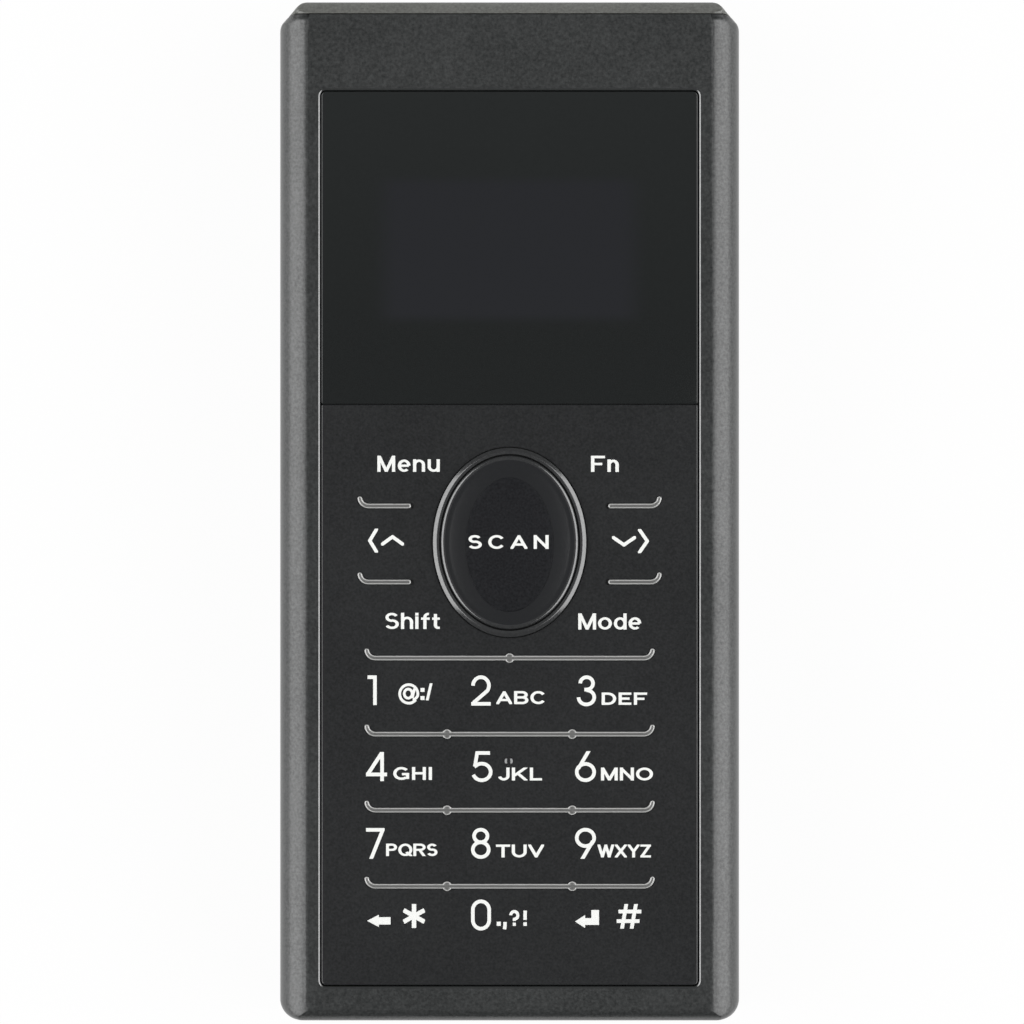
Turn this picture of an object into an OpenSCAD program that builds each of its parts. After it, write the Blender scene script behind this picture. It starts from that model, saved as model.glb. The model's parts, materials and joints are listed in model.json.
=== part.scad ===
// Pocket barcode data collector. It lies on its back: X runs across the keypad, +Y points to the
// scan window, and +Z comes out of the keypad. The origin is under the middle of the housing.

/* [Housing] */
// Width across the keypad
body_w = 50; // [48.4:0.2:60]
// Length from the socket end to the scan window end
body_l = 110.7; // [107:0.1:130]
// Height of the front face
body_h = 23; // [22.4:0.1:30]
// Wall of both shells
wall = 1.8; // [1.4:0.1:2]
// Radius of the long front edges
side_round = 3.4; // [2:0.1:3.6]
// Radius of the long back edges
back_round = 4; // [2.4:0.1:4.4]
// Radius of the front and back edges at the ends
end_round = 1.5; // [0.6:0.1:2]
// Radius of the corners at the socket end, in plan
corner_r = 2.3; // [1.5:0.1:3]
// Width of the cut that takes off each corner at the scan head, in plan
head_cut_w = 2.25; // [1:0.05:2.6]
// Length of that cut
head_cut_l = 2.6; // [1:0.1:3.2]
// Height of the parting line between the shells
parting_h = 11.5; // [11:0.1:12.4]
// Thickness of the tongue that joins the shells at the parting line
tongue_t = 0.8; // [0.6:0.05:0.85]
// Height of that tongue
tongue_h = 0.8; // [0.6:0.1:1.2]
// Open line left between the shells
shadow_gap = 0.15; // [0.1:0.05:0.3]
// Thickness of the ribs in the rear shell
rib_t = 0.9; // [0.6:0.1:1.2]
// Number of ribs along each side of the battery bay
rib_count = 4; // [2:1:6]

/* [Scan head] */
// Distance from the scan window end to the recess that holds the keypad and lens
head_l = 9.6; // [9:0.1:14]
// Length of the end cap outside the shells
cap_l = 1.35; // [1.2:0.05:2.4]
// Fall of the cap's bevelled faces over its length
cap_bevel = 0.9; // [0.4:0.1:1.4]
// How far the cap reaches back round the sides of the shells
cap_wrap = 0.65; // [0.2:0.05:1]
// How far the cap is set in from the housing's sides
cap_step = 0.2; // [0.1:0.05:0.4]
// Length of the spigot that plugs the cap into the shells
spigot_l = 3; // [2.5:0.1:4.5]
// Wall of that spigot
spigot_t = 1.2; // [0.8:0.1:1.6]
// Width of the scan opening
window_w = 24; // [18:0.5:26]
// Height of the scan opening
window_h = 8.4; // [6:0.2:9]
// Thickness of the scan window
window_t = 1.2; // [0.8:0.1:1.6]
// How far the window overlaps the cap round the opening
window_lap = 1; // [0.8:0.1:1.5]
// Thickness of the window gasket
gasket_t = 0.3; // [0.2:0.05:0.5]

/* [Scan engine] */
// Width of the scan engine
engine_w = 21.6; // [18:0.2:24]
// Depth of the scan engine
engine_l = 15; // [12:0.5:18]
// Height of the scan engine
engine_h = 10.8; // [9:0.2:11]
// Distance between the scan engine and the window
engine_gap = 1.6; // [0.5:0.1:3]
// Distance between the scan engine and the circuit board
engine_drop = 1; // [0.4:0.1:1.4]
// Diameter of the scan engine's lens
engine_lens_d = 7; // [5:0.2:7.6]
// Depth of the tube that holds the engine's lens
engine_lens_tube = 3.5; // [2.8:0.1:4]
// Thickness of the engine's lens
engine_lens_t = 2.6; // [2:0.1:2.8]
// Thickness of the engine cradle
cradle_t = 1.2; // [0.8:0.1:1.6]

/* [Front recess] */
// Distance from the socket end to the recess that holds the keypad and lens
end_margin = 3.75; // [3.2:0.05:6]
// Width of the keypad and lens
panel_w = 40.9; // [40:0.1:42]
// Length of the keypad panel
keypad_l = 63.05; // [62:0.1:66]
// Gap round the keypad and lens
recess_gap = 0.14; // [0.1:0.02:0.3]
// Gap between the keypad and the lens
divider_gap = 0.1; // [0.05:0.05:0.3]
// Bevel on the edge of the recess
lip_bevel = 0.16; // [0.1:0.02:0.4]
// How far the keypad and lens lie below the front face
face_sink = 0.1; // [0:0.05:0.3]
// Thickness of the shell under the keypad
floor_t = 1.2; // [1:0.1:1.6]
// Thickness of the adhesive frame under the keypad and lens
spacer_t = 0.5; // [0.45:0.05:0.8]
// Thickness of the keypad panel and of the key plates
panel_t = 0.75; // [0.6:0.05:1]
// Thickness of the flexible keypad sheet
sheet_t = 0.3; // [0.2:0.05:0.5]

/* [Keys] */
// Distance from the keypad's lower edge to the lowest ridge
ridge_margin = 10.75; // [10:0.05:13]
// Pitch of the key rows
row_pitch = 8.26; // [8:0.02:8.5]
// Half the width of the middle key column
column_split = 6.8; // [6:0.1:7.2]
// Distance from the middle to the outer edge of the key plates
keys_half_w = 17; // [16:0.1:18]
// Rib of panel left between two columns
column_rib = 0.8; // [0.6:0.05:1.2]
// Rib of panel left between two rows
row_rib = 1.36; // [1.1:0.02:1.8]
// Corner radius of the key plates
plate_r = 0.6; // [0.3:0.05:1]
// Gap round each key plate
key_gap = 0.1; // [0.06:0.01:0.15]
// Travel of every key
travel = 0.3; // [0.2:0.02:0.32]
// Diameter of the plungers under the keys
plunger_d = 3.6; // [2:0.1:4]
// Gap round each plunger
plunger_gap = 0.4; // [0.2:0.05:0.6]

/* [Ridges] */
// Width of the ridges between the key rows
ridge_w = 0.56; // [0.4:0.02:0.8]
// Height of the ridges above the keypad sheet
ridge_rise = 0.2; // [0.1:0.05:0.4]
// Distance from the middle to where the long ridges turn up
long_ridge_x = 14.55; // [13:0.1:15.4]
// Distance from the middle to the inner end of the short ridges
short_ridge_x = 10.7; // [10.4:0.1:12]
// Radius at which a ridge's outer end turns up
hook_r = 0.95; // [0.7:0.05:1.3]
// Diameter of the round studs on the ridges
stud_d = 1.04; // [0.8:0.04:1.2]

/* [Scan key] */
// Height of the scan key's middle above the lowest ridge
scan_rise = 37.34; // [36.5:0.1:38]
// Width of the scan key
scan_w = 14.88; // [13:0.1:15.2]
// Length of the scan key
scan_l = 18.78; // [17:0.1:19.2]
// How far the scan key stands above the front face
scan_proud = 0.6; // [0.4:0.05:1.2]
// Depth of the dish in the scan key
scan_dish = 0.35; // [0.2:0.05:0.5]
// Width of the scan key's bevelled rim
scan_rim = 0.85; // [0.6:0.05:1.2]
// Gap between the scan key and its ring
ring_gap = 0.2; // [0.1:0.05:0.3]
// Width of the ring round the scan key
ring_w = 0.75; // [0.5:0.05:0.9]
// How far the ring stands above the front face
ring_proud = 0.45; // [0.3:0.05:0.8]
// Width of the inlay in the scan key
inlay_w = 9.56; // [7:0.1:11]
// Length of the inlay in the scan key
inlay_l = 14.54; // [11:0.1:15.5]
// How far the inlay's middle lies below the key's
inlay_drop = 0.25; // [0:0.05:0.4]
// Lap of the scan key's flange under the panel
flange_lap = 0.5; // [0.3:0.05:0.6]
// Thickness of that flange
flange_t = 0.45; // [0.3:0.05:0.5]

/* [Display] */
// Width of the opening for the display
aperture_w = 30; // [28:0.2:32]
// Length of the opening for the display
aperture_l = 17; // [15:0.2:19]
// How far the middle of the display lies below the middle of the lens
display_shift = 0.2; // [0:0.05:1]
// Width that the display glass adds to the opening on each side
glass_lap = 1.2; // [0.8:0.1:2]
// Thickness of the display glass
glass_t = 1; // [0.8:0.05:1.1]
// Wall of the display frame
frame_t = 1; // [0.8:0.1:1.5]

/* [Circuit board] */
// Thickness of the circuit board
board_t = 1; // [0.8:0.1:1.2]
// Height of the standoffs that the board hangs from
standoff_h = 1.25; // [1.25:0.05:1.6]
// Room between the circuit board and the walls
board_gap = 1.2; // [0.5:0.1:1.7]
// Distance from the board's edges to its screws
board_edge = 2.1; // [2:0.1:3]
// Diameter of the metal domes
dome_d = 5; // [4:0.1:5.4]
// Height of the metal domes
dome_h = 0.35; // [0.25:0.05:0.4]
// Thickness of the metal domes
dome_t = 0.08; // [0.05:0.01:0.12]
// Thickness of the sheet that holds the domes
dome_sheet_t = 0.1; // [0.05:0.05:0.2]
// Width of the socket's shell
socket_w = 7.7; // [7:0.1:8.4]
// Height of the socket's shell
socket_h = 3.9; // [3.4:0.1:4.2]
// Depth of the socket
socket_l = 9; // [7:0.5:11]
// Metal of the socket's shell
socket_t = 0.35; // [0.25:0.05:0.5]
// Diameter of the beeper
beeper_d = 11; // [8:0.5:12]
// Height of the beeper
beeper_h = 2.6; // [2:0.1:3]
// Size of the radio module's board
radio_size = 15; // [12:0.5:17]
// Height of the shield over the radio module
shield_h = 1.8; // [1.2:0.1:2.2]

/* [Battery] */
// Width of the battery
battery_w = 30; // [26:0.5:30.6]
// Length of the battery
battery_l = 54; // [50:0.5:58]
// Thickness of the battery
battery_t = 9; // [7.4:0.1:9.2]
// Corner radius of the battery
battery_r = 1.5; // [0.8:0.1:2.5]
// Wall of the battery bay
bay_wall = 1.1; // [0.9:0.1:1.3]
// Room for the contacts beyond the battery
contact_room = 2.2; // [2:0.1:3]
// Thickness of the battery door
door_t = 1; // [0.9:0.05:1.1]
// Lap of the door over the edge of its opening
door_lap = 1.4; // [1.2:0.1:1.6]
// Slide that frees the door
door_slide = 6; // [5:0.5:7]
// Length of each tab that hooks the door
tab_l = 3; // [2:0.2:4]
// Reach of each tab over the shell
tab_reach = 1; // [0.7:0.05:1.1]

/* [Fasteners] */
// Diameter of the case screws
screw_d = 2.5; // [2:0.1:2.8]
// Diameter of the case screws' heads
head_d = 4; // [3.6:0.1:4.4]
// Height of the case screws' heads
head_h = 1.2; // [0.9:0.1:1.5]
// Depth at which the case screws' heads sit
head_depth = 1.6; // [1.5:0.1:3]
// Diameter of the screw bosses
boss_d = 4.4; // [4.2:0.1:4.6]
// Diameter of the threaded inserts
insert_d = 3.4; // [3.2:0.1:3.6]
// Length of the threaded inserts
insert_l = 3.5; // [2.5:0.1:4.5]
// Diameter of the board screws
board_screw_d = 1.6; // [1.2:0.1:2]
// Diameter of the board screws' heads
board_head_d = 3; // [2.6:0.1:3.4]

/* [Fits] */
// Gap between parts that are set into each other
fit_gap = 0.1; // [0.06:0.02:0.14]
// Gap between parts that pass each other
pass_gap = 0.3; // [0.2:0.05:0.4]

/* [Hidden] */
$fn = 64;
over = 1;

SIDES = [-1, 1];
COLUMNS = [-1, 0, 1];
NUMBER_ROWS = [0, 1, 2, 3];
SIDE_ROWS = [4, 5, 6];

// Lengths along Y
end_y = body_l / 2;
seam_y = end_y - cap_l;
// Depth below the faces at which the seam starts to step back, and the height it takes
seam_edge = 0.8;
seam_fall = 2.4;
recess_y0 = -end_y + end_margin;
keypad_y0 = recess_y0 + recess_gap;
keypad_y1 = keypad_y0 + keypad_l;
lens_y0 = keypad_y1 + divider_gap;
recess_y1 = end_y - head_l;
lens_y1 = recess_y1 - recess_gap;
head_y0 = recess_y1 + wall;
cavity_y0 = -end_y + wall;
display_y = (lens_y0 + lens_y1) / 2 - display_shift;

// Heights along Z
sheet_z1 = body_h - face_sink;
panel_z1 = sheet_z1 - sheet_t;
panel_z0 = panel_z1 - panel_t;
recess_z = panel_z0 - spacer_t;
floor_z0 = recess_z - floor_t;
board_z1 = floor_z0 - standoff_h;
board_z0 = board_z1 - board_t;
plunger_z0 = board_z1 + dome_h + travel + fit_gap / 2;

// Keys
ridge_y0 = keypad_y0 + ridge_margin;
scan_y = ridge_y0 + scan_rise;
plate_h = row_pitch - row_rib;
column_x = (column_split + column_rib / 2 + keys_half_w) / 2;
outer_plate_w = keys_half_w - column_split - column_rib / 2;
middle_plate_w = 2 * column_split - column_rib;
scan_a = scan_w / 2;
scan_b = scan_l / 2;
bore_a = scan_a + ring_gap;
bore_b = scan_b + ring_gap;
ring_a = bore_a + ring_w;
ring_b = bore_b + ring_w;
plate_clear = 0.35;
scan_top = body_h + scan_proud;
ring_top = body_h + ring_proud;
ring_chamfer = 0.25;
scan_pocket = flange_t + travel - spacer_t + fit_gap;

// Screws
boss_x = body_w / 2 - wall - boss_d / 2 - fit_gap + 0.4;
boss_ys = [recess_y0 + 3.4, recess_y1 - 1.8];
insert_z1 = parting_h + insert_l;
board_w = body_w - 2 * (wall + board_gap);
board_y0 = cavity_y0 + board_gap;
board_y1 = recess_y1 - board_gap / 2;
standoff_d = board_head_d + 0.6;
low_standoff = [socket_w / 2 + standoff_d / 2 + board_edge * 1.6, board_y0 + board_edge];
high_standoff = [aperture_w / 2 + glass_lap, keypad_y1 - standoff_d / 2];
standoffs = [for (side = SIDES, spot = [low_standoff, high_standoff]) [side * spot.x, spot.y]];
board_head_h = 0.9;
board_screw_l = board_t + standoff_h + floor_t / 2;

// Battery bay
rib_z1 = parting_h - tongue_h - 2;
door_inset = 0.1;
door_z1 = door_inset + door_t;
door_pad_t = 0.5;
opening_x = battery_w / 2 + 1.1;
door_x = opening_x + door_lap;
tab_z0 = wall + fit_gap;
tab_z1 = tab_z0 + 0.9;
tab_t = 0.8;
tab_x = opening_x - fit_gap;
battery_z0 = door_z1 + door_pad_t + fit_gap;
battery_z1 = battery_z0 + battery_t;
bay_x = battery_w / 2 + pass_gap;
bay_z1 = battery_z1 + pass_gap;
bay_y0 = cavity_y0 + fit_gap + bay_wall;
battery_y0 = bay_y0 + pass_gap;
battery_y1 = battery_y0 + battery_l;
bay_y1 = battery_y1 + contact_room;
opening_y1 = bay_y1 + bay_wall + door_slide / 4;
door_y1 = opening_y1 + door_lap;
tab_ys = [for (i = [0:2]) battery_y0 + battery_l * (0.16 + 0.34 * i)];
contact_w = 1;
contact_h = 3.8;
contact_z = 6;
contact_xs = [for (i = [0:3]) 3 * contact_w * i - 10 * contact_w];

// Scan head
window_z = board_z0 - engine_drop - engine_h / 2;
frame_rim = 1.2;
window_y1 = seam_y - gasket_t;
window_y0 = window_y1 - window_t;
engine_y1 = window_y0 - engine_gap;
engine_y0 = engine_y1 - engine_l;
engine_z0 = window_z - engine_h / 2;
engine_z1 = window_z + engine_h / 2;
engine_nose = 2;

// Parts under the board, in a row below the scan engine and its cable
part_gap = 2;
flex_bend = 1.5;
flex_w = 8;
flex_t = 0.16;
beeper_y = engine_y0 - 2 * flex_bend - 2.8 * part_gap - beeper_d / 2;
radio_y = beeper_y - beeper_d / 2 - radio_size / 2 - part_gap;
radio_t = 0.8;
radio_edge = 0.8;
shield_t = 0.2;
chip_y = radio_y - radio_size / 2 - part_gap;
chip_size = [14, 14, 1.2];
power_chip_size = [7, 8, 1];
small_part_size = [0.8, 1.6, 0.5];
sound_slot = [7, 1];
socket_y0 = 0.5 - end_y;

// ---- Outlines -------------------------------------------------------------------------------

// What a corner of radius r loses, with the corner pointing away along sx and sy
module corner_waste(sx, sy, r) {
    difference() {
        translate([sx > 0 ? 0 : -2 * r, sy > 0 ? 0 : -2 * r]) square(2 * r);
        circle(r);
    }
}

// Rectangle that stands on the X axis, with one radius for its low and one for its high corners
module outline(w, h, r_low, r_high) {
    difference() {
        translate([-w / 2, 0]) square([w, h]);
        for (side = SIDES) {
            translate([side * (w / 2 - r_low), r_low]) corner_waste(side, -1, r_low);
            translate([side * (w / 2 - r_high), h - r_high]) corner_waste(side, 1, r_high);
        }
    }
}

// Plate with rounded corners between two corners of its box
module plate(low, high, r) {
    size = high - low;
    translate([(low.x + high.x) / 2, low.y]) outline(size.x, size.y, r, r);
}

module oval(a, b) {
    scale([a, b]) circle(1, $fn = 72);
}

// Bevelled oval rim between two heights, set in by the given amount at its top
module oval_bevel(a, b, z0, z1, inset) {
    hull() {
        slab(z0 - 0.01, z0) oval(a, b);
        slab(z1 - 0.01, z1) oval(a - inset, b - inset);
    }
}

// Extrudes an outline drawn in X and Z along Y
module along_y(y0, y1) {
    translate([0, y1, 0]) rotate([90, 0, 0]) linear_extrude(y1 - y0) children();
}

// Extrudes an outline drawn in Y and Z along X
module along_x(x0, x1) {
    translate([x0, 0, 0]) rotate([90, 0, 90]) linear_extrude(x1 - x0) children();
}

module slab(z0, z1) {
    translate([0, 0, z0]) linear_extrude(z1 - z0) children();
}

module box(low, high) {
    translate(low) cube(high - low);
}

// ---- Housing --------------------------------------------------------------------------------

// Corner between two lines, rounded by three points a given distance from it
function blunt(before, corner, after, run) =
    let (a = corner + (before - corner) / norm(before - corner) * run,
        b = corner + (after - corner) / norm(after - corner) * run)
    [a, (a + 2 * corner + b) / 4, b];

// Outline in plan: round corners at the socket end, cut ones at the scan head
module plan_outline(inset) {
    x = body_w / 2 - inset;
    low = [x, end_y - head_cut_l];
    high = [x - head_cut_w, end_y];
    difference() {
        plate([-x, -end_y + inset], [x, end_y], corner_r);
        for (side = SIDES) scale([side, 1]) polygon(concat(
            blunt([x, 0], low, high, head_cut_l / 8), blunt(low, high, [0, end_y], head_cut_l / 4),
            [[high.x - head_cut_l / 4, end_y + over], [x + over, end_y + over], [x + over, low.y - over]]));
    }
}

// The shells' end at the scan head in side view, which steps back round the sides
module seam_outline() {
    back = seam_y - cap_wrap;
    polygon([[-body_l, -over], [seam_y, -over], [seam_y, seam_edge], [back, seam_edge + seam_fall],
        [back, body_h - seam_edge - seam_fall], [seam_y, body_h - seam_edge], [seam_y, body_h + over],
        [-body_l, body_h + over]]);
}

// Outside of the housing: three outlines, one for each direction, set in by the given amount
module body_solid(inset = 0) {
    w = body_w - 2 * inset;
    h = body_h - 2 * inset;
    intersection() {
        slab(inset, body_h - inset) plan_outline(inset);
        translate([0, 0, inset]) along_y(-end_y, end_y) outline(w, h, back_round, side_round);
        along_x(-w / 2, w / 2) translate([0, inset]) outline(body_l, h, end_round, end_round);
    }
}

module cavity_outline(z1, inset = 0) {
    w = body_w - 2 * wall - 2 * inset;
    low = max(back_round - wall - inset, 0.3);
    high = max(side_round - wall - inset, 0.3);
    translate([0, wall + inset]) outline(w, z1 - wall - 2 * inset, low, high);
}

// Hollow of both shells, open at the scan head
module cavity() {
    along_y(cavity_y0, head_y0 + fit_gap) cavity_outline(floor_z0);
    along_y(head_y0, seam_y + over) cavity_outline(body_h - wall);
}

// Ring of the joint at the parting line: the tongue, with the given gap round it
module joint_ring(gap) {
    outer_x = body_w / 2 - wall + tongue_t + gap;
    outer_y = cavity_y0 - tongue_t - gap;
    inner_x = body_w / 2 - wall - gap;
    difference() {
        plate([-outer_x, outer_y], [outer_x, seam_y - spigot_l - fit_gap + gap], 1);
        translate([-inner_x, cavity_y0 + gap]) square([2 * inner_x, body_l]);
    }
}

module at_bosses() {
    for (side = SIDES, y = boss_ys) translate([side * boss_x, y, 0]) children();
}

module at_standoffs() {
    for (spot = standoffs) translate([spot.x, spot.y, 0]) children();
}

module socket_opening() {
    w = socket_w + 2 * fit_gap;
    h = socket_h + fit_gap;
    translate([-w / 2, -end_y - over, board_z0 - h]) cube([w, wall + 2 * over, h]);
}

// Room that the rear shell leaves under the socket
module socket_room() {
    w = socket_w + 2 * pass_gap;
    h = socket_h + pass_gap;
    translate([-w / 2, socket_y0 - over, board_z0 - h]) cube([w, socket_l + over + pass_gap, h]);
}

module recess() {
    x = panel_w / 2 + recess_gap;
    slab(recess_z, body_h + over) plate([-x, recess_y0], [x, recess_y1], 0.6);
    // The bevelled lip of the recess
    hull() {
        slab(body_h - lip_bevel, body_h - lip_bevel + 0.01) plate([-x, recess_y0], [x, recess_y1], 0.6);
        slab(body_h + 0.01, body_h + 0.02)
            plate([-x - lip_bevel, recess_y0 - lip_bevel], [x + lip_bevel, recess_y1 + lip_bevel], 0.75);
    }
}

module front_shell() {
    color("#3a3c3d") difference() {
        union() {
            difference() {
                intersection() {
                    body_solid();
                    box([-body_w, -body_l, parting_h], [body_w, seam_y, body_h + over]);
                    along_x(-body_w, body_w) seam_outline();
                }
                cavity();
            }
            slab(parting_h - tongue_h, parting_h + 0.2) joint_ring(0);
            at_bosses() slab(parting_h, floor_z0 + fit_gap) circle(d = boss_d);
            at_standoffs() slab(board_z1, floor_z0 + fit_gap) circle(d = standoff_d);
        }
        recess();
        slab(floor_z0 - over, body_h) display_aperture();
        at_key_centres() slab(floor_z0 - over, body_h) circle(d = plunger_d + 2 * plunger_gap);
        translate([0, scan_y, 0]) slab(recess_z - scan_pocket, body_h)
            oval(bore_a + flange_lap + pass_gap, bore_b + flange_lap + pass_gap);
        socket_opening();
        at_bosses() slab(parting_h - over, insert_z1 + 0.4) circle(d = insert_d);
        at_standoffs() slab(board_z1 - over, board_z0 + board_screw_l + fit_gap) circle(d = board_screw_d);
    }
}

module rear_shell() {
    color("#37393a") difference() {
        union() {
            difference() {
                intersection() {
                    body_solid();
                    box([-body_w, -body_l, -over], [body_w, seam_y, parting_h - shadow_gap]);
                    along_x(-body_w, body_w) seam_outline();
                }
                cavity();
            }
            at_bosses() slab(wall / 2, parting_h) circle(d = boss_d);
            battery_bay();
            side_ribs();
        }
        slab(parting_h - tongue_h - fit_gap, parting_h + over) joint_ring(fit_gap / 2);
        battery_bay_hollow();
        socket_room();
        door_opening();
        at_bosses() slab(-over, parting_h + over) circle(d = screw_d + 2 * fit_gap);
        at_bosses() slab(-over, head_depth) circle(d = head_d + 4 * fit_gap);
        sound_slots();
    }
}

// Ribs that stiffen the rear shell between the battery bay and its side walls
module side_ribs() {
    x = tab_x + tab_reach + pass_gap;
    intersection() {
        body_solid(wall / 2);
        for (side = SIDES, i = [0:rib_count - 1]) {
            y = bay_y0 + (i + 0.5) * (bay_y1 - bay_y0) / rib_count;
            low = side > 0 ? x : -body_w / 2;
            box([low, y - rib_t / 2, wall / 2], [low + body_w / 2 - x, y + rib_t / 2, rib_z1]);
            box([side > 0 ? bay_x : -x - over, y - rib_t / 2, tab_z1 + pass_gap],
                [side > 0 ? x + over : -bay_x, y + rib_t / 2, rib_z1]);
        }
    }
}

module sound_slots() {
    for (i = [-1, 0, 1]) translate([0, beeper_y + 2 * i * sound_slot.y, 0])
        slab(-over, wall + over) square(sound_slot, center = true);
}

// ---- Battery bay and door -------------------------------------------------------------------

module battery_bay() {
    x = bay_x + bay_wall;
    box([-x, cavity_y0 + fit_gap, tab_z1 + pass_gap], [x, bay_y1 + bay_wall, bay_z1 + bay_wall]);
    box([-x, bay_y1, wall / 2], [x, bay_y1 + bay_wall, bay_z1]);
    // Root of the bay's end wall, below the joint at the parting line
    box([-x, cavity_y0 - 0.2, tab_z1 + pass_gap], [x, bay_y0, parting_h - tongue_h - 0.4]);
}

module battery_bay_hollow() {
    box([-bay_x, bay_y0, -over], [bay_x, bay_y1, bay_z1]);
    // Groove that takes the roots of the battery contacts
    w = contact_w / 2 + fit_gap;
    h = contact_h / 2 + fit_gap;
    for (x = contact_xs) box([x - w, bay_y1 - over, contact_z - h], [x + w, bay_y1 + 0.5, contact_z + h]);
}

module door_opening() {
    x = opening_x;
    lap_x = door_x + fit_gap;
    box([-lap_x, -end_y - over, -over], [lap_x, door_y1 + fit_gap, door_z1 + fit_gap / 2]);
    box([-x, bay_y0, -over], [x, bay_y1, tab_z1 + pass_gap]);
    // Notches that let the tabs out once the door has slid
    notch_x = tab_x + tab_reach + fit_gap;
    for (y = tab_ys) box([-notch_x, y - door_slide - tab_l / 2 - 0.3, -over],
        [notch_x, y - door_slide + tab_l / 2 + 0.3, tab_z1 + pass_gap]);
}

module battery_door() {
    pad_x = opening_x - fit_gap;
    color("#37393a") {
        difference() {
            union() {
                intersection() {
                    body_solid();
                    box([-door_x, -end_y - over, door_inset], [door_x, door_y1, door_z1]);
                }
                // Pad that stiffens the door, short enough to stay inside when the door slides
                box([-pad_x, bay_y0 + door_slide + pass_gap, door_z1 - 0.1],
                    [pad_x, bay_y1 - pass_gap, door_z1 + door_pad_t]);
                for (side = SIDES, y = tab_ys) door_tab(side, y);
            }
            finger_grooves();
        }
    }
}

module door_tab(side, y) {
    low = side > 0 ? tab_x - tab_t : -tab_x - tab_reach;
    stem = side > 0 ? tab_x - tab_t : -tab_x;
    box([stem, y - tab_l / 2, door_z1 - 0.1], [stem + tab_t, y + tab_l / 2, tab_z1]);
    box([low, y - tab_l / 2, tab_z0], [low + tab_t + tab_reach, y + tab_l / 2, tab_z1]);
}

module finger_grooves() {
    for (i = [0:4]) translate([0, -end_y + 9 + 1.8 * i, door_inset - 0.3])
        rotate([0, 90, 0]) cylinder(h = 14 - 2 * i, r = 0.6, center = true);
}

module battery() {
    color("#2c3034") slab(battery_z0, battery_z1)
        plate([-battery_w / 2, battery_y0], [battery_w / 2, battery_y1], battery_r);
}

module battery_contacts() {
    w = contact_w / 2;
    h = contact_h / 2;
    color("#d8b45a") for (x = contact_xs) {
        box([x - w, bay_y1 - 0.25, contact_z - h], [x + w, bay_y1 + 0.4, contact_z + h]);
        translate([x, bay_y1 - 0.25, contact_z]) scale([w, contact_room - pass_gap, 1.2 * contact_w])
            rotate([0, 90, 0]) intersection() {
                cylinder(h = 2, r = 1, center = true);
                translate([-2, -2, -1]) cube([4, 2, 2]);
            }
    }
}

// ---- Scan head ------------------------------------------------------------------------------

module cap_profile() {
    y = [seam_y + fit_gap, end_y - 0.3, end_y];
    low = cap_step;
    high = body_h - face_sink;
    back = y[0] - cap_wrap;
    polygon([[y[0], low], [y[1], low + cap_bevel], [y[2], low + cap_bevel + 0.4],
        [y[2], high - cap_bevel - 0.4], [y[1], high - cap_bevel], [y[0], high],
        [y[0], body_h - seam_edge], [back, body_h - seam_edge - seam_fall], [back, seam_edge + seam_fall],
        [y[0], seam_edge]]);
}

module window_rim(gap) {
    x = window_w / 2 + window_lap + gap;
    h = window_h + 2 * window_lap + 2 * gap;
    translate([0, window_z - h / 2]) outline(2 * x, h, 1, 1);
}

module scan_head_cap() {
    color("#66686a") difference() {
        union() {
            difference() {
                intersection() {
                    body_solid(cap_step / 2);
                    along_x(-body_w, body_w) cap_profile();
                    along_y(seam_y - cap_wrap, end_y)
                        outline(body_w - 2 * cap_step, body_h, back_round, side_round);
                }
                along_y(seam_y - cap_wrap - over, seam_y) cavity_outline(body_h - wall, fit_gap + 0.3);
            }
            along_y(seam_y - spigot_l, seam_y + 0.2) difference() {
                cavity_outline(body_h - wall, fit_gap);
                cavity_outline(body_h - wall, fit_gap + spigot_t);
            }
            along_y(window_y0, seam_y + 0.2) window_rim(fit_gap + frame_rim);
        }
        along_y(window_y0 - over, seam_y) window_rim(fit_gap);
        along_y(seam_y - over, end_y + over) translate([0, window_z - window_h / 2])
            outline(window_w, window_h, 1, 1);
    }
}

module scan_window() {
    color("#7a1616") along_y(window_y0, window_y1) window_rim(0);
}

module window_gasket() {
    color("#151515") along_y(window_y1, seam_y) difference() {
        window_rim(0);
        translate([0, window_z - window_h / 2]) outline(window_w, window_h, 1, 1);
    }
}

// Round hole in the engine's nose
module engine_tube(x, depth, d) {
    translate([x, engine_y1 - depth, window_z]) rotate([-90, 0, 0]) cylinder(h = depth + over, d = d);
}

module scan_engine() {
    x = engine_w / 2;
    nose_x = x - engine_nose / 1.5;
    color("#8b9096") difference() {
        union() {
            box([-x, engine_y0, engine_z0], [x, engine_y1 - engine_nose, engine_z1]);
            box([-nose_x, engine_y1 - engine_nose - 0.01, engine_z0], [nose_x, engine_y1, engine_z1]);
        }
        engine_tube(x / 2, engine_lens_tube, engine_lens_d + 0.1);
        engine_tube(-x / 2, engine_lens_tube * 0.7, engine_lens_d * 0.57);
    }
}

module scan_engine_lens() {
    color("#303a55") translate([engine_w / 4, engine_y1 - engine_lens_tube, window_z]) rotate([-90, 0, 0])
        intersection() {
            cylinder(h = engine_lens_t, d = engine_lens_d);
            translate([0, 0, engine_lens_t - engine_lens_d]) sphere(engine_lens_d);
        }
}

module engine_cradle() {
    x = engine_w / 2 + fit_gap + cradle_t;
    inner_x = engine_w / 2 + fit_gap;
    color("#45484b") {
        box([-x, engine_y0, engine_z0 - cradle_t], [x, engine_y1 - engine_nose, engine_z0]);
        for (side = SIDES) {
            low = side > 0 ? inner_x : -x;
            box([low, engine_y0, wall], [low + cradle_t, engine_y1 - engine_nose, window_z]);
        }
    }
}

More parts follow.
